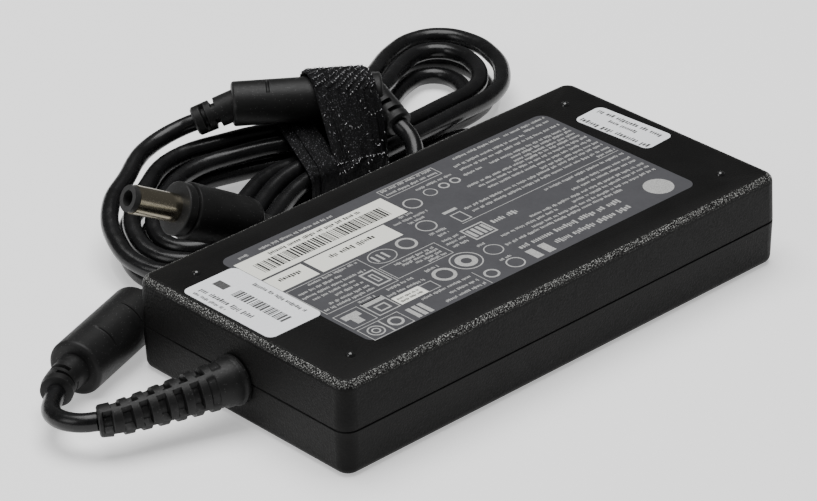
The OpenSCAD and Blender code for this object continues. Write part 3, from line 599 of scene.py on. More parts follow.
BEND_ROUTE = [RELIEF_TIP] + points(
    (-0.11108, 0.01479, 0.0089), (-0.11258, 0.0175, 0.0086), (-0.11317, 0.02054, 0.00825),
    (-0.11284, 0.02345, 0.0079), (-0.11158, 0.02628, 0.00755)) + [
    CHOKE_BACK_NECK + 1.2 * CORD_D * BACK_NECK_AXIS, CHOKE_BACK_NECK, *reversed(BACK_NECK_BEND)]
LINK_ROUTE = [CHOKE_FRONT_NECK, CHOKE_FRONT_NECK + CORD_D * CHOKE_AXIS] + points(
    (-0.0522, 0.0519, 0.0064), (-0.0475, 0.0494, 0.0049), (-0.0426, 0.0456, 0.0035),
    (-0.037, 0.0425, 0.0027), (-0.030, 0.0411, 0.0025), (-0.009, 0.0409, 0.0025),
    (0.012, 0.0409, 0.0025), (0.035, 0.0409, 0.0025), (0.0575, 0.0409, 0.0025),
    (0.0633, 0.0425, 0.0025), (0.0675, 0.0467, 0.0025), (0.0691, 0.0525, 0.0026),
    (0.0675, 0.0583, 0.003), (0.0633, 0.0625, 0.0035), (0.0585, 0.064, 0.004)) + [
    HANK_IN - CORD_D * HANK_IN_AXIS, HANK_IN]
TAIL_ROUTE = [HANK_OUT, HANK_OUT + CORD_D * HANK_OUT_AXIS] + points(
    (-0.0174, 0.1023, 0.0152), (-0.0122, 0.103, 0.0159)) + [
    BEAD_BACK_NECK + CORD_D * BEAD_BACK_AXIS, BEAD_BACK_NECK]
END_ROUTE = [BEAD_FRONT_NECK, BEAD_FRONT_NECK + CORD_D * BEAD_FRONT_AXIS] + points(
    (0.0316, 0.0513, 0.0144), (0.0268, 0.0474, 0.0124), (0.020, 0.0444, 0.0108),
    (0.0126, 0.0434, 0.0096), (0.003, 0.043, 0.0083), (-0.0058, 0.0429, 0.0078)) + [
    GRIP_EXIT + CORD_D * PLUG_AXIS, GRIP_EXIT]
INSIDE_BEAD = [BEAD_BACK_ROOT + 0.004 * BEAD_AXIS, BEAD_START + 0.5 * BEAD_L * BEAD_AXIS,
               BEAD_FRONT_ROOT - 0.006 * BEAD_AXIS, BEAD_FRONT_ROOT + 0.006 * BEAD_FRONT_AXIS]
LEAD_ROUTE = BEND_ROUTE + LINK_ROUTE[:-1] + HANK + TAIL_ROUTE[1:] + INSIDE_BEAD + END_ROUTE


# ---------------- mesh and curve makers
WALK_STEPS = 16
SLEEVE_STEP = 0.2 * MM
SLEEVE_SIDES = 72
SLEEVE_SHARP = 32
JUMP = 0.02 * MM
LOOK_AHEAD = 0.1 * MM
CUT_EDGE = 0.18 * MM
CUT_SIDE_EDGE = 5


def show(obj, body="root"):
    bpy.context.scene.collection.objects.link(obj)
    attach(obj, body)
    return obj


def mesh_piece(name, verts, faces, material, sharp=None):
    mesh = bpy.data.meshes.new(name)
    mesh.from_pydata([tuple(v) for v in verts], [], faces)
    mesh.validate()
    if sharp is not None:
        mesh.polygons.foreach_set("use_smooth", [True] * len(mesh.polygons))
        mesh.set_sharp_from_angle(angle=math.radians(sharp))
    mesh.materials.append(material)
    return show(bpy.data.objects.new(name, mesh))


def curve_piece(name, route, radius, material):
    """A round cord on one smooth curve through the points."""
    data = bpy.data.curves.new(name, "CURVE")
    data.dimensions = "3D"
    data.bevel_depth = radius
    data.bevel_resolution = 6
    data.resolution_u = 6
    data.use_fill_caps = True
    spline = data.splines.new("BEZIER")
    spline.bezier_points.add(len(route) - 1)
    for knot, place in zip(spline.bezier_points, route):
        knot.co = place
        knot.handle_left_type = "AUTO"
        knot.handle_right_type = "AUTO"
    data.materials.append(material)
    return show(bpy.data.objects.new(name, data))


def walk(route, step):
    """Points at even steps along a smooth curve through the route, with their distances."""
    padded = [2 * route[0] - route[1], *route, 2 * route[-1] - route[-2]]
    fine = []
    for a, b, c, d in zip(padded, padded[1:], padded[2:], padded[3:]):
        for i in range(WALK_STEPS):
            t = i / WALK_STEPS
            fine.append(0.5 * (2 * b + (c - a) * t + (2 * a - 5 * b + 4 * c - d) * t ** 2
                               + (3 * b - a - 3 * c + d) * t ** 3))
    fine.append(route[-1])
    total = sum((q - p).length for p, q in zip(fine, fine[1:]))
    count = max(2, round(total / step))
    out, done, i = [], 0.0, 0
    for n in range(count + 1):
        want = total * n / count
        while i < len(fine) - 2 and done + (fine[i + 1] - fine[i]).length < want:
            done += (fine[i + 1] - fine[i]).length
            i += 1
        span = (fine[i + 1] - fine[i]).length
        out.append((want, fine[i].lerp(fine[i + 1], clamp((want - done) / span) if span else 0)))
    return out


def sleeve(name, route, radius, step=SLEEVE_STEP, sides=SLEEVE_SIDES, jumps=()):
    """A closed moulding along a route, whose radius(distance, angle) is free.

    Angle 0 is the upper side. The radius jumps at the distances in jumps.
    """
    path = walk(route, step)
    for s in jumps:
        before = max((p for p in path if p[0] <= s), key=lambda p: p[0])
        for offset in (-JUMP, JUMP):
            path.append((s + offset, before[1] + (s + offset - before[0]) * tangent_at(path, before[0])))
    path.sort(key=lambda p: p[0])
    up = Vector((0, 0, 1))
    verts = []
    for i, (s, place) in enumerate(path):
        ahead = tangent_at(path, s)
        up = (up - up.dot(ahead) * ahead).normalized()
        side = ahead.cross(up)
        for k in range(sides):
            a = 2 * math.pi * k / sides
            verts.append(place + radius(s, math.degrees(a)) * (math.cos(a) * up + math.sin(a) * side))
    faces = []
    for i in range(len(path) - 1):
        for k in range(sides):
            a, b = i * sides + k, i * sides + (k + 1) % sides
            faces.append((a, b, b + sides, a + sides))
    faces.append(tuple(range(sides - 1, -1, -1)))
    last = (len(path) - 1) * sides
    faces.append(tuple(last + k for k in range(sides)))
    return mesh_piece(name, verts, faces, material_of("overmould"), SLEEVE_SHARP)


def tangent_at(path, s):
    before = [p for p in path if p[0] <= s - LOOK_AHEAD] or [path[0]]
    after = [p for p in path if p[0] >= s + LOOK_AHEAD] or [path[-1]]
    return (after[0][1] - before[-1][1]).normalized()


def turn_gap(a, b):
    """The angle between two directions round an axis, in degrees."""
    return abs((a - b + 180) % 360 - 180)


def profile_radius(outline, s):
    """Radius at distance s on a piecewise-straight outline of (distance, radius)."""
    for (s0, r0), (s1, r1) in zip(outline, outline[1:]):
        if s <= s1:
            return r0 + (r1 - r0) * clamp((s - s0) / (s1 - s0) if s1 > s0 else 1)
    return outline[-1][1]


def fade_round(angle, middle, half):
    """One within the half angle on both sides of middle, and none beyond."""
    return smooth_step((half - turn_gap(angle, middle)) / CUT_SIDE_EDGE + 0.5)


def cut_depth(cuts, s, angle):
    """How deep the windows are at this spot; each is (middle, half length, angle, half angle, depth)."""
    depth = 0.0
    for middle, half, at, spread, deep in cuts:
        along = smooth_step((half - abs(s - middle)) / CUT_EDGE + 0.5)
        if along:
            depth = max(depth, deep * along * fade_round(angle, at, spread))
    return depth


def carved(outline, cuts=(), share=1.0):
    """A sleeve's radius: a turned outline with a share of the windows' depth cut into it."""
    return lambda s, angle: profile_radius(outline, s) - share * cut_depth(cuts, s, angle)


# ---------------- strain relief at the housing
RELIEF_PITCH = 4.3 * MM
RELIEF_WINDOWS = 7
RELIEF_TIP_BAND = 2.3 * MM
RELIEF_ROOT_BAND = 3.4 * MM
WINDOW_HALF = 1.05 * MM
WINDOW_SIDE = 112
WINDOW_SPREAD = 36
WINDOW_DEPTH = 1.7 * MM
ROOT_WINDOW_DEPTH = 0.35 * MM
FLANGE_EDGE = 0.3 * MM
FLANGE_T = 1.5 * MM


def output_relief():
    root = Vector((HOUSING_END - 0.2 * MM, RELIEF_Y, RELIEF_POINTS[0].z))
    route = [root, *RELIEF_POINTS]
    length = walk(route, 1 * MM)[-1][0]
    outline = [(0, RELIEF_FLANGE_R - FLANGE_EDGE), (FLANGE_EDGE, RELIEF_FLANGE_R),
               (FLANGE_T - FLANGE_EDGE, RELIEF_FLANGE_R), (FLANGE_T, RELIEF_FLANGE_R - FLANGE_EDGE),
               (FLANGE_T + 0.05 * MM, RELIEF_ROOT_R + 0.2 * MM),
               (length - 0.8 * MM, RELIEF_TIP_R + 0.1 * MM),
               (length - 0.3 * MM, RELIEF_TIP_R), (length, RELIEF_TIP_R - 0.5 * MM)]
    cuts = []
    for i in range(RELIEF_WINDOWS + 1):
        at = length - RELIEF_TIP_BAND - i * RELIEF_PITCH
        deep = WINDOW_DEPTH if i < RELIEF_WINDOWS - 1 else ROOT_WINDOW_DEPTH
        for side in (WINDOW_SIDE, WINDOW_SIDE + 180):
            cuts.append((at, WINDOW_HALF, side, WINDOW_SPREAD, deep))
            cuts.append((at - RELIEF_PITCH / 2, WINDOW_HALF, side - 90, WINDOW_SPREAD, deep))
    cuts = [cut for cut in cuts if cut[0] > RELIEF_ROOT_BAND]
    piece = sleeve("slotted_relief", route, carved(outline, cuts), sides=80)
    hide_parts("output_relief")


# ---------------- chokes
GROOVE_HALF = 0.55 * MM
GROOVE_SPREAD = 62
GROOVE_DEPTH = 1.3 * MM
NECK_LIP = 0.9 * MM
CHOKE_RIM = 1.1 * MM
CHOKE_SLITS_AT = (9.5 * MM, 22 * MM)
CHOKE_SLIT_HALF = 0.14 * MM
CHOKE_SLIT_DEPTH = 0.4 * MM
CHOKE_SLIT_SIDE = 36
CHOKE_SLIT_SPREAD = 27
RIDGE_OFFSET = 0.24 * MM
RIDGE_H = 0.1 * MM
BEAD_RIM = 0.8 * MM
BEAD_SLIT = (9.5 * MM, 0.35 * MM, 10, 26, 0.7 * MM)


def neck_cuts(first, pitch, count, angle):
    """Grooves of a jointed neck, which leave two webs, turned by 90 degrees from one to the next."""
    return [(first + i * pitch, GROOVE_HALF, angle + 90 * i + side, GROOVE_SPREAD, GROOVE_DEPTH)
            for i in range(count) for side in (0, 180)]


def rounded_ends(start, length, r, edge):
    """Outline of a drum with rounded rims, as (distance, radius) from one end face to the other."""
    arc = [(edge * (1 - math.cos(math.radians(a))), r - edge + edge * math.sin(math.radians(a)))
           for a in (0, 22, 45, 67, 90)]
    return [(start + s, q) for s, q in arc] + [(start + length - s, q) for s, q in reversed(arc)]


def large_choke():
    """The ferrite's case with a neck at each end and two slits with raised lips."""
    route = [CHOKE_BACK_NECK, *reversed(BACK_NECK_BEND), CHOKE_START, CHOKE_FRONT_NECK]
    total = walk(route, 0.1 * MM)[-1][0]
    front = total - CHOKE_FRONT_NECK_L
    first = front - CHOKE_L
    outline = [(0, NECK_R - NECK_LIP), (0.4 * MM, NECK_R - 0.1 * MM), (2.2 * MM, NECK_R),
               (4.2 * MM, NECK_R - 0.2 * MM), (first - JUMP, NECK_R + 0.1 * MM)]
    outline += rounded_ends(first, CHOKE_L, CHOKE_R, CHOKE_RIM)
    outline += [(front + JUMP, NECK_R), (total - 0.4 * MM, NECK_R - 0.2 * MM),
                (total, NECK_R - NECK_LIP)]
    cuts = neck_cuts(3.3 * MM, 2.6 * MM, 2, 60) + neck_cuts(total - 1.6 * MM, 2.6 * MM, 1, 60)
    slits = [first + at for at in CHOKE_SLITS_AT]
    cuts += [(at, CHOKE_SLIT_HALF, CHOKE_SLIT_SIDE, CHOKE_SLIT_SPREAD, CHOKE_SLIT_DEPTH) for at in slits]
    plain = carved(outline, cuts)

    def radius(s, angle):
        ridge = sum(smooth_step(1 - abs(abs(s - at) - RIDGE_OFFSET) / RIDGE_H) for at in slits)
        return plain(s, angle) + RIDGE_H * ridge * fade_round(angle, CHOKE_SLIT_SIDE, CHOKE_SLIT_SPREAD)

    piece = sleeve("large_choke_moulding", route, radius, jumps=(first, front))
    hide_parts("large_choke_case")
    return piece


def small_choke():
    """The bead's case and its two necks, which point their own ways."""
    outline = rounded_ends(0, BEAD_L, BEAD_R, BEAD_RIM)
    case = sleeve("small_choke_moulding", [BEAD_START, BEAD_START + BEAD_L * BEAD_AXIS],
                  carved(outline, [BEAD_SLIT]))
    necks = []
    for name, root, end, angle in (("bead_back_neck", BEAD_BACK_ROOT, BEAD_BACK_NECK, 30),
                                   ("bead_front_neck", BEAD_FRONT_ROOT, BEAD_FRONT_NECK, 60)):
        length = (end - root).length
        neck = [(0, NECK_R), (length - 0.5 * MM, NECK_R - 0.2 * MM), (length, NECK_R - NECK_LIP)]
        cuts = neck_cuts(6.4 * MM, 3 * MM, 2, angle)
        necks.append(sleeve(name, [root, end], carved(neck, cuts), sides=64))
    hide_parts("small_choke_case")
    return [case, *necks]


# ---------------- plug
GRIP_ROOT_IN = 1 * MM
GRIP_NECK_R = NECK_R - 0.7 * MM
GRIP_GROOVE_SHARE = 0.6


def plug_grip():
    """The plug's body, with a ring at its front, and the grooved relief behind it."""
    outline = [(0, 3.9 * MM), (0.05 * MM, GRIP_R - 0.8 * MM), (0.4 * MM, GRIP_R - 0.4 * MM),
               (GRIP_RING - 0.5 * MM, GRIP_R - 0.4 * MM), (GRIP_RING - 0.35 * MM, GRIP_R - 0.9 * MM),
               (GRIP_RING, GRIP_R - 0.9 * MM), (GRIP_RING + 0.1 * MM, GRIP_R - 0.15 * MM),
               (GRIP_RING + 0.5 * MM, GRIP_R), (GRIP_L - 3.2 * MM, GRIP_R - 0.55 * MM),
               (GRIP_L - 1.6 * MM, GRIP_R - 0.9 * MM), (GRIP_L - 0.5 * MM, GRIP_R - 1.9 * MM),
               (GRIP_L, GRIP_R - 3.4 * MM)]
    grip = sleeve("plug_moulding", [PLUG_FRONT, PLUG_FRONT + GRIP_L * PLUG_AXIS], carved(outline))
    root = PLUG_FRONT + (GRIP_L - GRIP_ROOT_IN) * PLUG_AXIS
    length = (GRIP_EXIT - root).length
    taper = [(0, GRIP_NECK_R), (length - 0.5 * MM, GRIP_NECK_R - 0.4 * MM),
             (length, GRIP_NECK_R - 0.8 * MM)]
    cuts = neck_cuts(3.2 * MM, 2.4 * MM, 5, 0)
    relief = sleeve("plug_relief", [root, GRIP_EXIT], carved(taper, cuts, GRIP_GROOVE_SHARE),
                    0.25 * MM, 48)
    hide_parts("plug_grip")
    return [grip, relief]


# ---------------- hook-and-loop tie
TIE_CENTRE = Vector((0.026, 0.0757, 0))
TIE_TURN = -23
TIE_AXIS = heading(TIE_TURN)
TIE_SIDE = heading(TIE_TURN + 90)
MAIN_LEFT = -0.0063
MAIN_RIGHT = 0.0097
FOLD_LEFT = -0.0113
UNDER_LEFT = -0.0143
RIB_PITCH = 1.7 * MM
TIE_SIDES = 420
BAND_LOWEST = 0.05 * MM
BAND_SHARP = 50
HEM = 0.9 * MM
HEM_SINK = 0.45
KNOT_PITCH = 0.75 * MM
KNOT_SHARE = 0.3
NECK_SPOTS = 4
NECK_SPOT_STEP = 3 * MM
LOOPS_AT = 2.05 * MM
LOOPS_LEAST = 0.2
LOOPS_MORE = 0.75
UP_FROM = -0.25
UP_REACH = 0.6
LOOP_SHIFT = 0.2  # millimetres, as the next two are
LOOP_WIDTH = (0.16, 0.42)
LOOP_HEIGHT = (0.12, 0.35)
LOOP_YARN_R = 0.06 * MM
LOOP_PARTS = 5
LOOP_SHARP = 60


def from_tie(p):
    """A point as the tie sees it: along its axis, aside, and height over the floor."""
    d = p - TIE_CENTRE
    return Vector((d.dot(TIE_AXIS), d.dot(TIE_SIDE), p.z))


def tied(x, over_choke):
    """What crosses the tie's plane at x: (side, height, half width, half height) of each crossing."""
    found = []
    pieces = [(a, b, CORD_R) for a, b in zip(HANK, HANK[1:])]
    if over_choke:
        pieces.append((BEAD_START, BEAD_START + BEAD_L * BEAD_AXIS, BEAD_R))
    for a, b, r in pieces:
        a, b = from_tie(a), from_tie(b)
        if (a.x - x) * (b.x - x) < 0:
            c = a.lerp(b, (x - a.x) / (b.x - a.x))
            t = (b - a).normalized()
            found.append((c.y, c.z, r / math.hypot(t.x, t.z), r / math.hypot(t.x, t.y)))
    for i in range(NECK_SPOTS if over_choke else 0):
        c = from_tie(BEAD_FRONT_ROOT + NECK_SPOT_STEP * i * BEAD_FRONT_AXIS)
        if abs(c.x - x) < NECK_R:
            s = math.sqrt(NECK_R ** 2 - (c.x - x) ** 2)
            found.append((c.y, c.z, s, s))
    return found


def tie_reach(crossings, a):
    """How far the crossings reach out in the direction a."""
    c, s = math.cos(a), math.sin(a)
    return max(y * c + z * s + math.hypot(w * c, h * s) for y, z, w, h in crossings)


def tie_ring(x, over_choke=True):
    """Points of the taut band's inner side at x, with their outward directions."""
    crossings = tied(x, over_choke)
    turn = 2 * math.pi / TIE_SIDES
    ring = []
    for k in range(TIE_SIDES):
        a = k * turn
        here = tie_reach(crossings, a)
        slide = (tie_reach(crossings, a + turn) - tie_reach(crossings, a - turn)) / (2 * math.sin(turn))
        c, s = math.cos(a), math.sin(a)
        ring.append((here * c - slide * s, here * s + slide * c, c, s))
    return ring


def fabric_face(x, arc, hem, low, high, ribs):
    """How far out the ribbed face stands, which sinks at the band's hems."""
    wave = 0.5 - 0.5 * math.cos(2 * math.pi * arc / RIB_PITCH)
    row = round(arc / RIB_PITCH)
    knot = 0.5 + 0.5 * math.sin(2 * math.pi * (x / KNOT_PITCH + 0.5 * row))
    return high - (high - low) * HEM_SINK * hem - ribs * (1 - wave * (1 - KNOT_SHARE + KNOT_SHARE * knot))


def band(name, left, right, low, high, ribs, sections, over_choke=True):
    """A fabric band round the bundle from left to right, between low and high outside the strands."""
    verts, faces = [], []
    columns = []
    for i in range(sections + 1):
        share = i / sections
        x = left + (right - left) * share
        hem = 1 - smooth_step(min(share, 1 - share) * (right - left) / HEM)
        columns.append((x, hem, tie_ring(x, over_choke)))
    for outer in (True, False):
        for x, hem, ring in columns:
            arc = 0.0
            for k, (y, z, c, s) in enumerate(ring):
                if k:
                    arc += math.hypot(y - ring[k - 1][0], z - ring[k - 1][1])
                grow = fabric_face(x, arc, hem, low, high, ribs) if outer else low
                verts.append(TIE_CENTRE + x * TIE_AXIS + (y + grow * c) * TIE_SIDE
                             + Vector((0, 0, max(BAND_LOWEST, z + grow * s))))
    n, m = TIE_SIDES, sections + 1
    for i in range(sections):
        for k in range(n):
            a, b = i * n + k, i * n + (k + 1) % n
            faces.append((a, a + n, b + n, b))
            faces.append((m * n + a, m * n + b, m * n + b + n, m * n + a + n))
    last = (m - 1) * n
    for k in range(n):
        j = (k + 1) % n
        faces.append((k, j, m * n + j, m * n + k))
        faces.append((last + j, last + k, m * n + last + k, m * n + last + j))
    return mesh_piece(name, verts, faces, material_of("tie"), BAND_SHARP)


def rib_crests(x):
    """Spots on the band's ribs at x, with their outward directions."""
    ring = tie_ring(x)
    arc = 0.0
    for before, (y, z, c, s) in zip(ring, ring[1:]):
        reached = arc
        arc += math.hypot(y - before[0], z - before[1])
        if int(arc / RIB_PITCH + 0.5) > int(reached / RIB_PITCH + 0.5):
            yield y + LOOPS_AT * c, z + LOOPS_AT * s, c, s


def fuzz(seed):
    """Short yarn loops in rows on the main band's ribs, more of them where it faces up."""
    rng = random.Random(seed)
    verts, faces = [], []
    spots = []
    for i in range(int((MAIN_RIGHT - MAIN_LEFT) / KNOT_PITCH)):
        x = MAIN_LEFT + (i + 0.5) * KNOT_PITCH
        spots += [(x, *spot) for spot in rib_crests(x)]
    for x, y, z, c, s in spots:
        # more loops where the band faces up, so that their painted pale highlights gather on top
        facing_up = smooth_step((s - UP_FROM) / UP_REACH)
        if rng.random() > LOOPS_LEAST + LOOPS_MORE * facing_up:
            continue
        x += rng.uniform(-LOOP_SHIFT, LOOP_SHIFT) * MM
        base = TIE_CENTRE + x * TIE_AXIS + y * TIE_SIDE + Vector((0, 0, z))
        out = (c * TIE_SIDE + Vector((0, 0, s))).normalized()
        turn = rng.uniform(0, math.pi)
        across = math.cos(turn) * TIE_AXIS + math.sin(turn) * TIE_AXIS.cross(out)
        width = rng.uniform(*LOOP_WIDTH) * MM
        height = rng.uniform(*LOOP_HEIGHT) * MM
        start = len(verts)
        thick = LOOP_YARN_R * across.cross(out)
        for i in range(LOOP_PARTS + 1):
            a = math.pi * i / LOOP_PARTS
            p = base + across * width * math.cos(a) + out * height * math.sin(a)
            verts += [p + LOOP_YARN_R * out, p + thick, p - thick]
        for i in range(LOOP_PARTS):
            for k in range(3):
                a, b = start + 3 * i + k, start + 3 * i + (k + 1) % 3
                faces.append((a, b, b + 3, a + 3))
    return mesh_piece("tie_fuzz", verts, faces, loop_yarn_painted_glints(), LOOP_SHARP)


def tie():
    """The strap's top layer, the end folded beside it and the layer below, with its fuzz."""
    tuck = MAIN_LEFT + 1 * MM
    main = band("tie_band", MAIN_LEFT, MAIN_RIGHT, low=1.0 * MM, high=2.15 * MM, ribs=0.42 * MM,
                sections=40)
    under = band("tie_under_band", UNDER_LEFT, tuck, low=0.25 * MM, high=1.15 * MM, ribs=0.25 * MM,
                 sections=22, over_choke=False)
    fold = band("tie_fold", FOLD_LEFT, tuck, low=1.1 * MM, high=2.1 * MM, ribs=0.25 * MM,
                sections=16, over_choke=False)
    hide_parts("hook_and_loop_tie")
    return [main, under, fold, fuzz(7)]


# ---------------- greeked print
PRINT_LIFT = 0.02 * MM
ROUND_SIDES = 40
DASH_WIDTH = (0.14, 0.36)  # this and the next five are shares of a row's height
DASH_GAP = 0.15
WORD_GAP = 0.45
DASH_BELOW = (0.3, 0.3, 0.3, 0.5)
DASH_ABOVE = (0.3, 0.3, 0.48)
ROW_END = 0.3
WORD_LENGTH = (3, 9)
STRIPE_WIDTHS = (1, 1, 2, 3)
STRIPE_GAPS = (1, 1, 2)


class Print:
    """Flat marks just over a surface, drawn in millimetres from their origin."""

    def __init__(self, name, origin, turn, seed):
        self.name = name
        self.origin = origin
        self.along = heading(turn)
        self.across = heading(turn + 90)
        self.rng = random.Random(seed)
        self.verts, self.faces = [], []

    def shape(self, corners):
        start = len(self.verts)
        for x, y in corners:
            self.verts.append(self.origin + x * MM * self.along + y * MM * self.across)
        self.faces.append(tuple(range(start, start + len(corners))))

    def bar(self, x0, x1, y0, y1):
        self.shape([(x0, y0), (x1, y0), (x1, y1), (x0, y1)])

    def box(self, x0, x1, y0, y1, line):
        self.bar(x0, x1, y0, y0 + line)
        self.bar(x0, x1, y1 - line, y1)
        self.bar(x0, x0 + line, y0 + line, y1 - line)
        self.bar(x1 - line, x1, y0 + line, y1 - line)

    def ring(self, x, y, r, line, squash):
        for k in range(ROUND_SIDES):
            a, b = 2 * math.pi * k / ROUND_SIDES, 2 * math.pi * (k + 1) / ROUND_SIDES
            self.shape([(x + q * math.cos(t), y + q * squash * math.sin(t))
                        for q, t in ((r - line, a), (r, a), (r, b), (r - line, b))])

    def disc(self, x, y, r):
        turns = [2 * math.pi * k / ROUND_SIDES for k in range(ROUND_SIDES)]
        self.shape([(x + r * math.cos(t), y + r * math.sin(t)) for t in turns])

    def row(self, x0, x1, y, height):
        """A row of dashes in word-like groups, centred on y."""
        x = x0
        left = self.rng.randint(*WORD_LENGTH)
        while x < x1 - ROW_END * height:
            wide = height * self.rng.uniform(*DASH_WIDTH)
            low = y - height * self.rng.choice(DASH_BELOW)
            top = y + height * self.rng.choice(DASH_ABOVE)
            self.bar(x, min(x + wide, x1), low, top)
            x += wide + height * DASH_GAP
            left -= 1
            if not left:
                x += height * WORD_GAP
                left = self.rng.randint(*WORD_LENGTH)

    def column(self, x, y0, y1, height):
        """The same row, turned to run down from y1 to y0."""
        done = len(self.verts)
        self.row(0, y1 - y0, 0, height)
        for i in range(done, len(self.verts)):
            d = self.verts[i] - self.origin
            u, v = d.dot(self.along) / MM, d.dot(self.across) / MM
            self.verts[i] = self.origin + (x + v) * MM * self.along + (y1 - u) * MM * self.across

    def stripes(self, start, end, thick):
        """Stripes of uneven width that start between start and end, as (low, high)."""
        at = start
        while at < end:
            wide = thick * self.rng.choice(STRIPE_WIDTHS)
            yield at, at + wide
            at += wide + thick * self.rng.choice(STRIPE_GAPS)

    def finish(self, material):
        mesh_piece(self.name, self.verts, self.faces, material)


def print_height(node):
    """Height of the print on a flat node."""
    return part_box(node)[1].z + PRINT_LIFT


def middle_of(node):
    """Where the print's origin lies on a sticker: over its middle."""
    low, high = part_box(node)
    return Vector(((low.x + high.x) / 2, (low.y + high.y) / 2, print_height(node)))


# the label's marks, in millimetres from the housing's middle: (x0, x1, y0, y1) for bars and boxes
PANELS = ((-54.8, -5.8, 14.1, 24.2), (-54.8, -42.6, 6.2, 13.3), (-41.4, -14.8, 6.2, 13.5),
          (-38.8, -30, -19, -15))
FINE_ROWS = (
    (21.6, 38.6, 26.4), (39.8, 54.9, 26.4), (45.2, 54.9, 24.3), (18.9, 44.4, 23.2), (3.4, 16.1, 20.9),
    (18.9, 54.8, 20.9), (17.5, 24.1, 18.1), (26.8, 54.8, 18.1), (32.7, 54.8, 16.4), (32, 54.5, 14.6),
    (13.9, 54.8, 13.0), (16.1, 54.8, 11.1), (17.3, 54.8, 9.0), (33.9, 54.8, 6.9), (5.2, 54.8, 5.1),
    (5.9, 54.8, 2.9), (48.6, 54.9, 1.1), (26.4, 54.8, -2.0), (35.2, 54.8, -4.8), (31.4, 54.3, -6.9),
    (13.9, 54.8, -9.5), (1.8, 21.6, -11.5), (26.8, 54.8, -11.5), (10.5, 54.5, -13.7), (-0.5, 41, -15.5),
    (-51.7, -48.3, 25.9), (-45, -20.3, 25.9), (-3.6, 13.7, 26.3), (-3.6, 13.7, 24.2),
    (-9.8, -4.9, 13.2), (-13.2, -1.7, 11.2), (-10, -4.8, 9.3), (-10.3, -4.5, 1.4), (-9.1, -5.4, -0.5),
    (-10.4, -4.9, -3.3), (-10.9, -4.5, -5.2), (-10.4, -5, -7.1), (-6.1, -3.6, -11.1),
    (-48.5, -32.4, 4.0), (-53.4, -39.3, 1.9), (-54, -33.2, -0.2), (-52.4, -38, -2.2),
    (-47, -37.7, -4.2), (-51, -37.8, -6.4), (-54, -37.5, -8.2), (-26.8, -13.6, -3.6),
    (-25.6, -13.6, -5), (-22.4, -13.6, -6.5), (-19.6, -13.6, -8), (-45.6, -40.6, -11),
    (-36.5, -27.5, -11.2), (-38.6, -26.6, -13.7), (-23.8, -19.5, -11.2), (-7.1, -2.9, -20.1),
    (-33.8, -17, -20.5), (-26.8, -17, -23), (-30.3, -17, -25.4))
BOLD_ROWS = ((0.7, 36.1, -19.1), (9.1, 36.1, -23.2), (5.2, 14.1, -4.8))
THIN_BOXES = ((-54.8, -31.3, -9.8, 5.2), (-30.8, -12.2, -9.2, -2), (-55, -47.2, -19.5, -11.8),
              (-55, -48.3, -26.9, -20.4), (-48.3, -42, -26.9, -20.4), (-4.5, 14.5, 22.8, 27.2))
RINGS = ((-25.9, 1.9, 4.1, 0.3), (-17.3, 2.4, 2.85, 0.75), (-21.4, -15.4, 3.15, 0.95),
         (-12.95, -14.3, 4.3, 0.35), (-12.95, -14.3, 2.9, 1.5), (-5, -23.4, 2.5, 0.4),
         (-4.3, -15, 2.6, 0.3), (-7.6, 5.5, 2.8, 0.4), (-51.6, -23.6, 2.3, 0.4), (-51.6, -23.6, 1.2, 0.4),
         (-12.95, -23.2, 2.1, 0.6), (5.3, 17.6, 1.9, 0.3), (10.2, 17.8, 1.5, 0.5), (14.1, 17.8, 1.5, 0.5),
         (-2, 16.4, 2.6, 0.45), (-45.2, -23.6, 2.1, 0.7))


BARS = ((-0.5, 55, -0.2, 0), (-16.25, -16.05, -26.8, -19.5), (-0.5, 4.1, 6.4, 7.5),
        (-46, -39.6, -13.9, -12), (-53.8, -48.6, -15.4, -13.2), (-52.4, -50, -18.2, -15.4))
THICK_BOXES = ((0, 3.6, 0.6, 5.2, 0.35), (-46.3, -39.3, -19.2, -12, 0.35), (-44.6, -41, -17.9, -14.9, 0.5),
               (-30, -26, -19.2, -15.2, 0.25), (-36.8, -32.1, -8.4, -1.2, 0.55),
               (-35.2, -33.7, -6.8, -2.8, 0.4), (-3.9, 3.6, -8.7, -2.4, 0.5))
COMBS = ((3, 1.9, -40.2, -38.9, -26.4, -21.3), (3, 1.7, -28.6, -27.9, 0.3, 3.5),
         (4, 1.6, -3, -2, -7.6, -3.5), (2, 4.2, 0.2, 2.6, -25.8, -21.2))
STAMP = (48, -21, 4.0)
DARK_ROWS = ((-44.7, -14.3, 22.5, 1.5), (-52, -44, 10.6, 1.9), (-35.3, -20, 10.7, 2),
             (-38, -31, -16.4, 0.9), (-38, -31, -17.8, 0.9))
LABEL_CODE = (-51.5, -8.9, 16, 20.9)
LABEL_CODE_STRIPE = 0.22
FINE_HEIGHT = 1.15
BOLD_HEIGHT = 2.1
THIN_LINE = 0.22
OVAL = 0.8


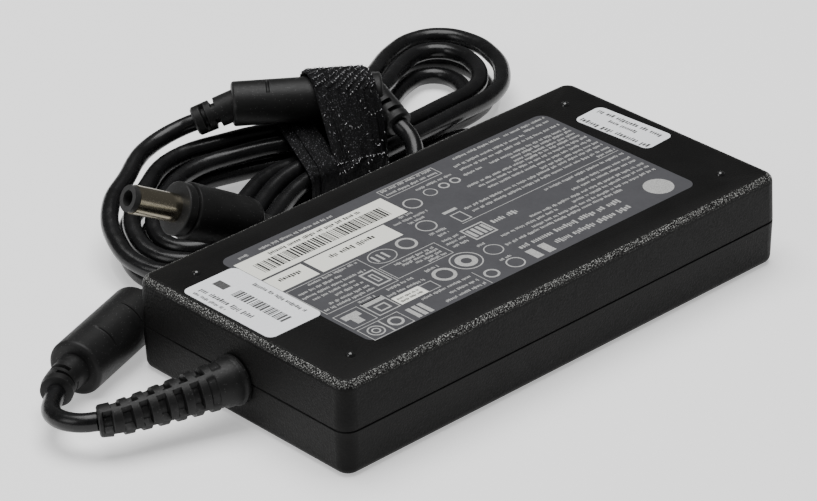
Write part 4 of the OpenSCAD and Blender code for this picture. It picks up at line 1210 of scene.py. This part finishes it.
def label_print():
    """Pale panels, rows of dashes, boxes, rings and bars on the rating label."""
    face = Vector((0, 0, print_height("rating_label")))
    panels = Print("label_panels", face, 0, 1)
    for edges in PANELS:
        panels.bar(*edges)
    marks = Print("label_marks", face, 0, 2)
    for x0, x1, y in FINE_ROWS:
        marks.row(x0, x1, y, FINE_HEIGHT)
    for x0, x1, y in BOLD_ROWS:
        marks.row(x0, x1, y, BOLD_HEIGHT)
    for edges in THIN_BOXES:
        marks.box(*edges, THIN_LINE)
    for edges in THICK_BOXES:
        marks.box(*edges)
    for x, y, r, line in RINGS:
        marks.ring(x, y, r, line, OVAL if r > 4 and line == 0.3 else 1)
    for edges in BARS:
        marks.bar(*edges)
    for count, pitch, x0, x1, y0, y1 in COMBS:
        for i in range(count):
            marks.bar(x0 + pitch * i, x1 + pitch * i, y0, y1)
    marks.disc(*STAMP)
    dark = Print("label_bars", face + Vector((0, 0, PRINT_LIFT)), 0, 3)
    left, right, low, high = LABEL_CODE
    for x0, x1 in dark.stripes(left, right - LABEL_CODE_STRIPE, LABEL_CODE_STRIPE):
        dark.bar(x0, min(x1, right), low, high)
    for row in DARK_ROWS:
        dark.row(*row)
    panels.finish(ink("panel_ink", (0.83, 0.83, 0.76), 0.04))
    marks.finish(ink("pale_ink", (0.46, 0.46, 0.45), 0.35))
    dark.finish(ink("dark_ink", (0.03, 0.03, 0.03), 0.4))


# a sticker's columns of dashes from its middle, in millimetres: (x, y0, y1, height)
PART_COLUMNS = ((-4.8, -6.2, 13.4, 1.9), (-7, 1.6, 13.4, 1.2), (6.2, -12.6, 6.4, 1.4))
TEST_COLUMNS = ((-3.7, -11.6, 11.4, 2.2), (0.2, -4.6, 5.2, 1.6), (2.9, -10.8, 11, 1.9))
PART_BLOCK = (-1, 1.6, 9.4, 13.6)
PART_CODE = (-1.4, 2, -12.2, 6.4)
PART_CODE_STRIPE = 0.25
TEST_STICKER_TURN = 3.3


def sticker_print():
    """Bars and dashed rows on the two white stickers."""
    part = Print("part_sticker_bars", middle_of("part_sticker_plate"), 0, 4)
    for column in PART_COLUMNS:
        part.column(*column)
    part.bar(*PART_BLOCK)
    left, right, low, high = PART_CODE
    for y0, y1 in part.stripes(low, high, PART_CODE_STRIPE):
        part.bar(left, right, y0, y1)
    test = Print("test_sticker_bars", middle_of("test_sticker_plate"), TEST_STICKER_TURN, 5)
    for column in TEST_COLUMNS:
        test.column(*column)
    grey = ink("grey_ink", (0.1, 0.1, 0.1), 0.5)
    part.finish(grey)
    test.finish(grey)


# ---------------- assembly
def lead(with_pieces):
    """The whole cord in one piece; the mouldings, plug parts and tie that it is given are not used."""
    cord = curve_piece("lead", LEAD_ROUTE, CORD_R, material_of("cord"))
    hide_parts("cord_bend", "cord_link", "cord_hank", "cord_tail", "cord_end")
    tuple(RELIEF_TIP)
    measured(cord)


def measured(cord):
    """Length of the cord's smooth centre line."""
    return sum(spline.calc_length() for spline in cord.data.splines)


add_camera()
dress_nodes()
moulded = [large_choke(), *small_choke(), *plug_grip()]
output_relief()
on_lead = moulded + [nodes[n] for n in ("large_choke_core", "small_choke_core", "plug_barrel",
                                        "plug_tip_ring", "plug_centre_pin")]
lead(on_lead + tie())
label_print()
sticker_print()
add_floor()
add_world()
add_lights()

bpy.context.view_layer.update()
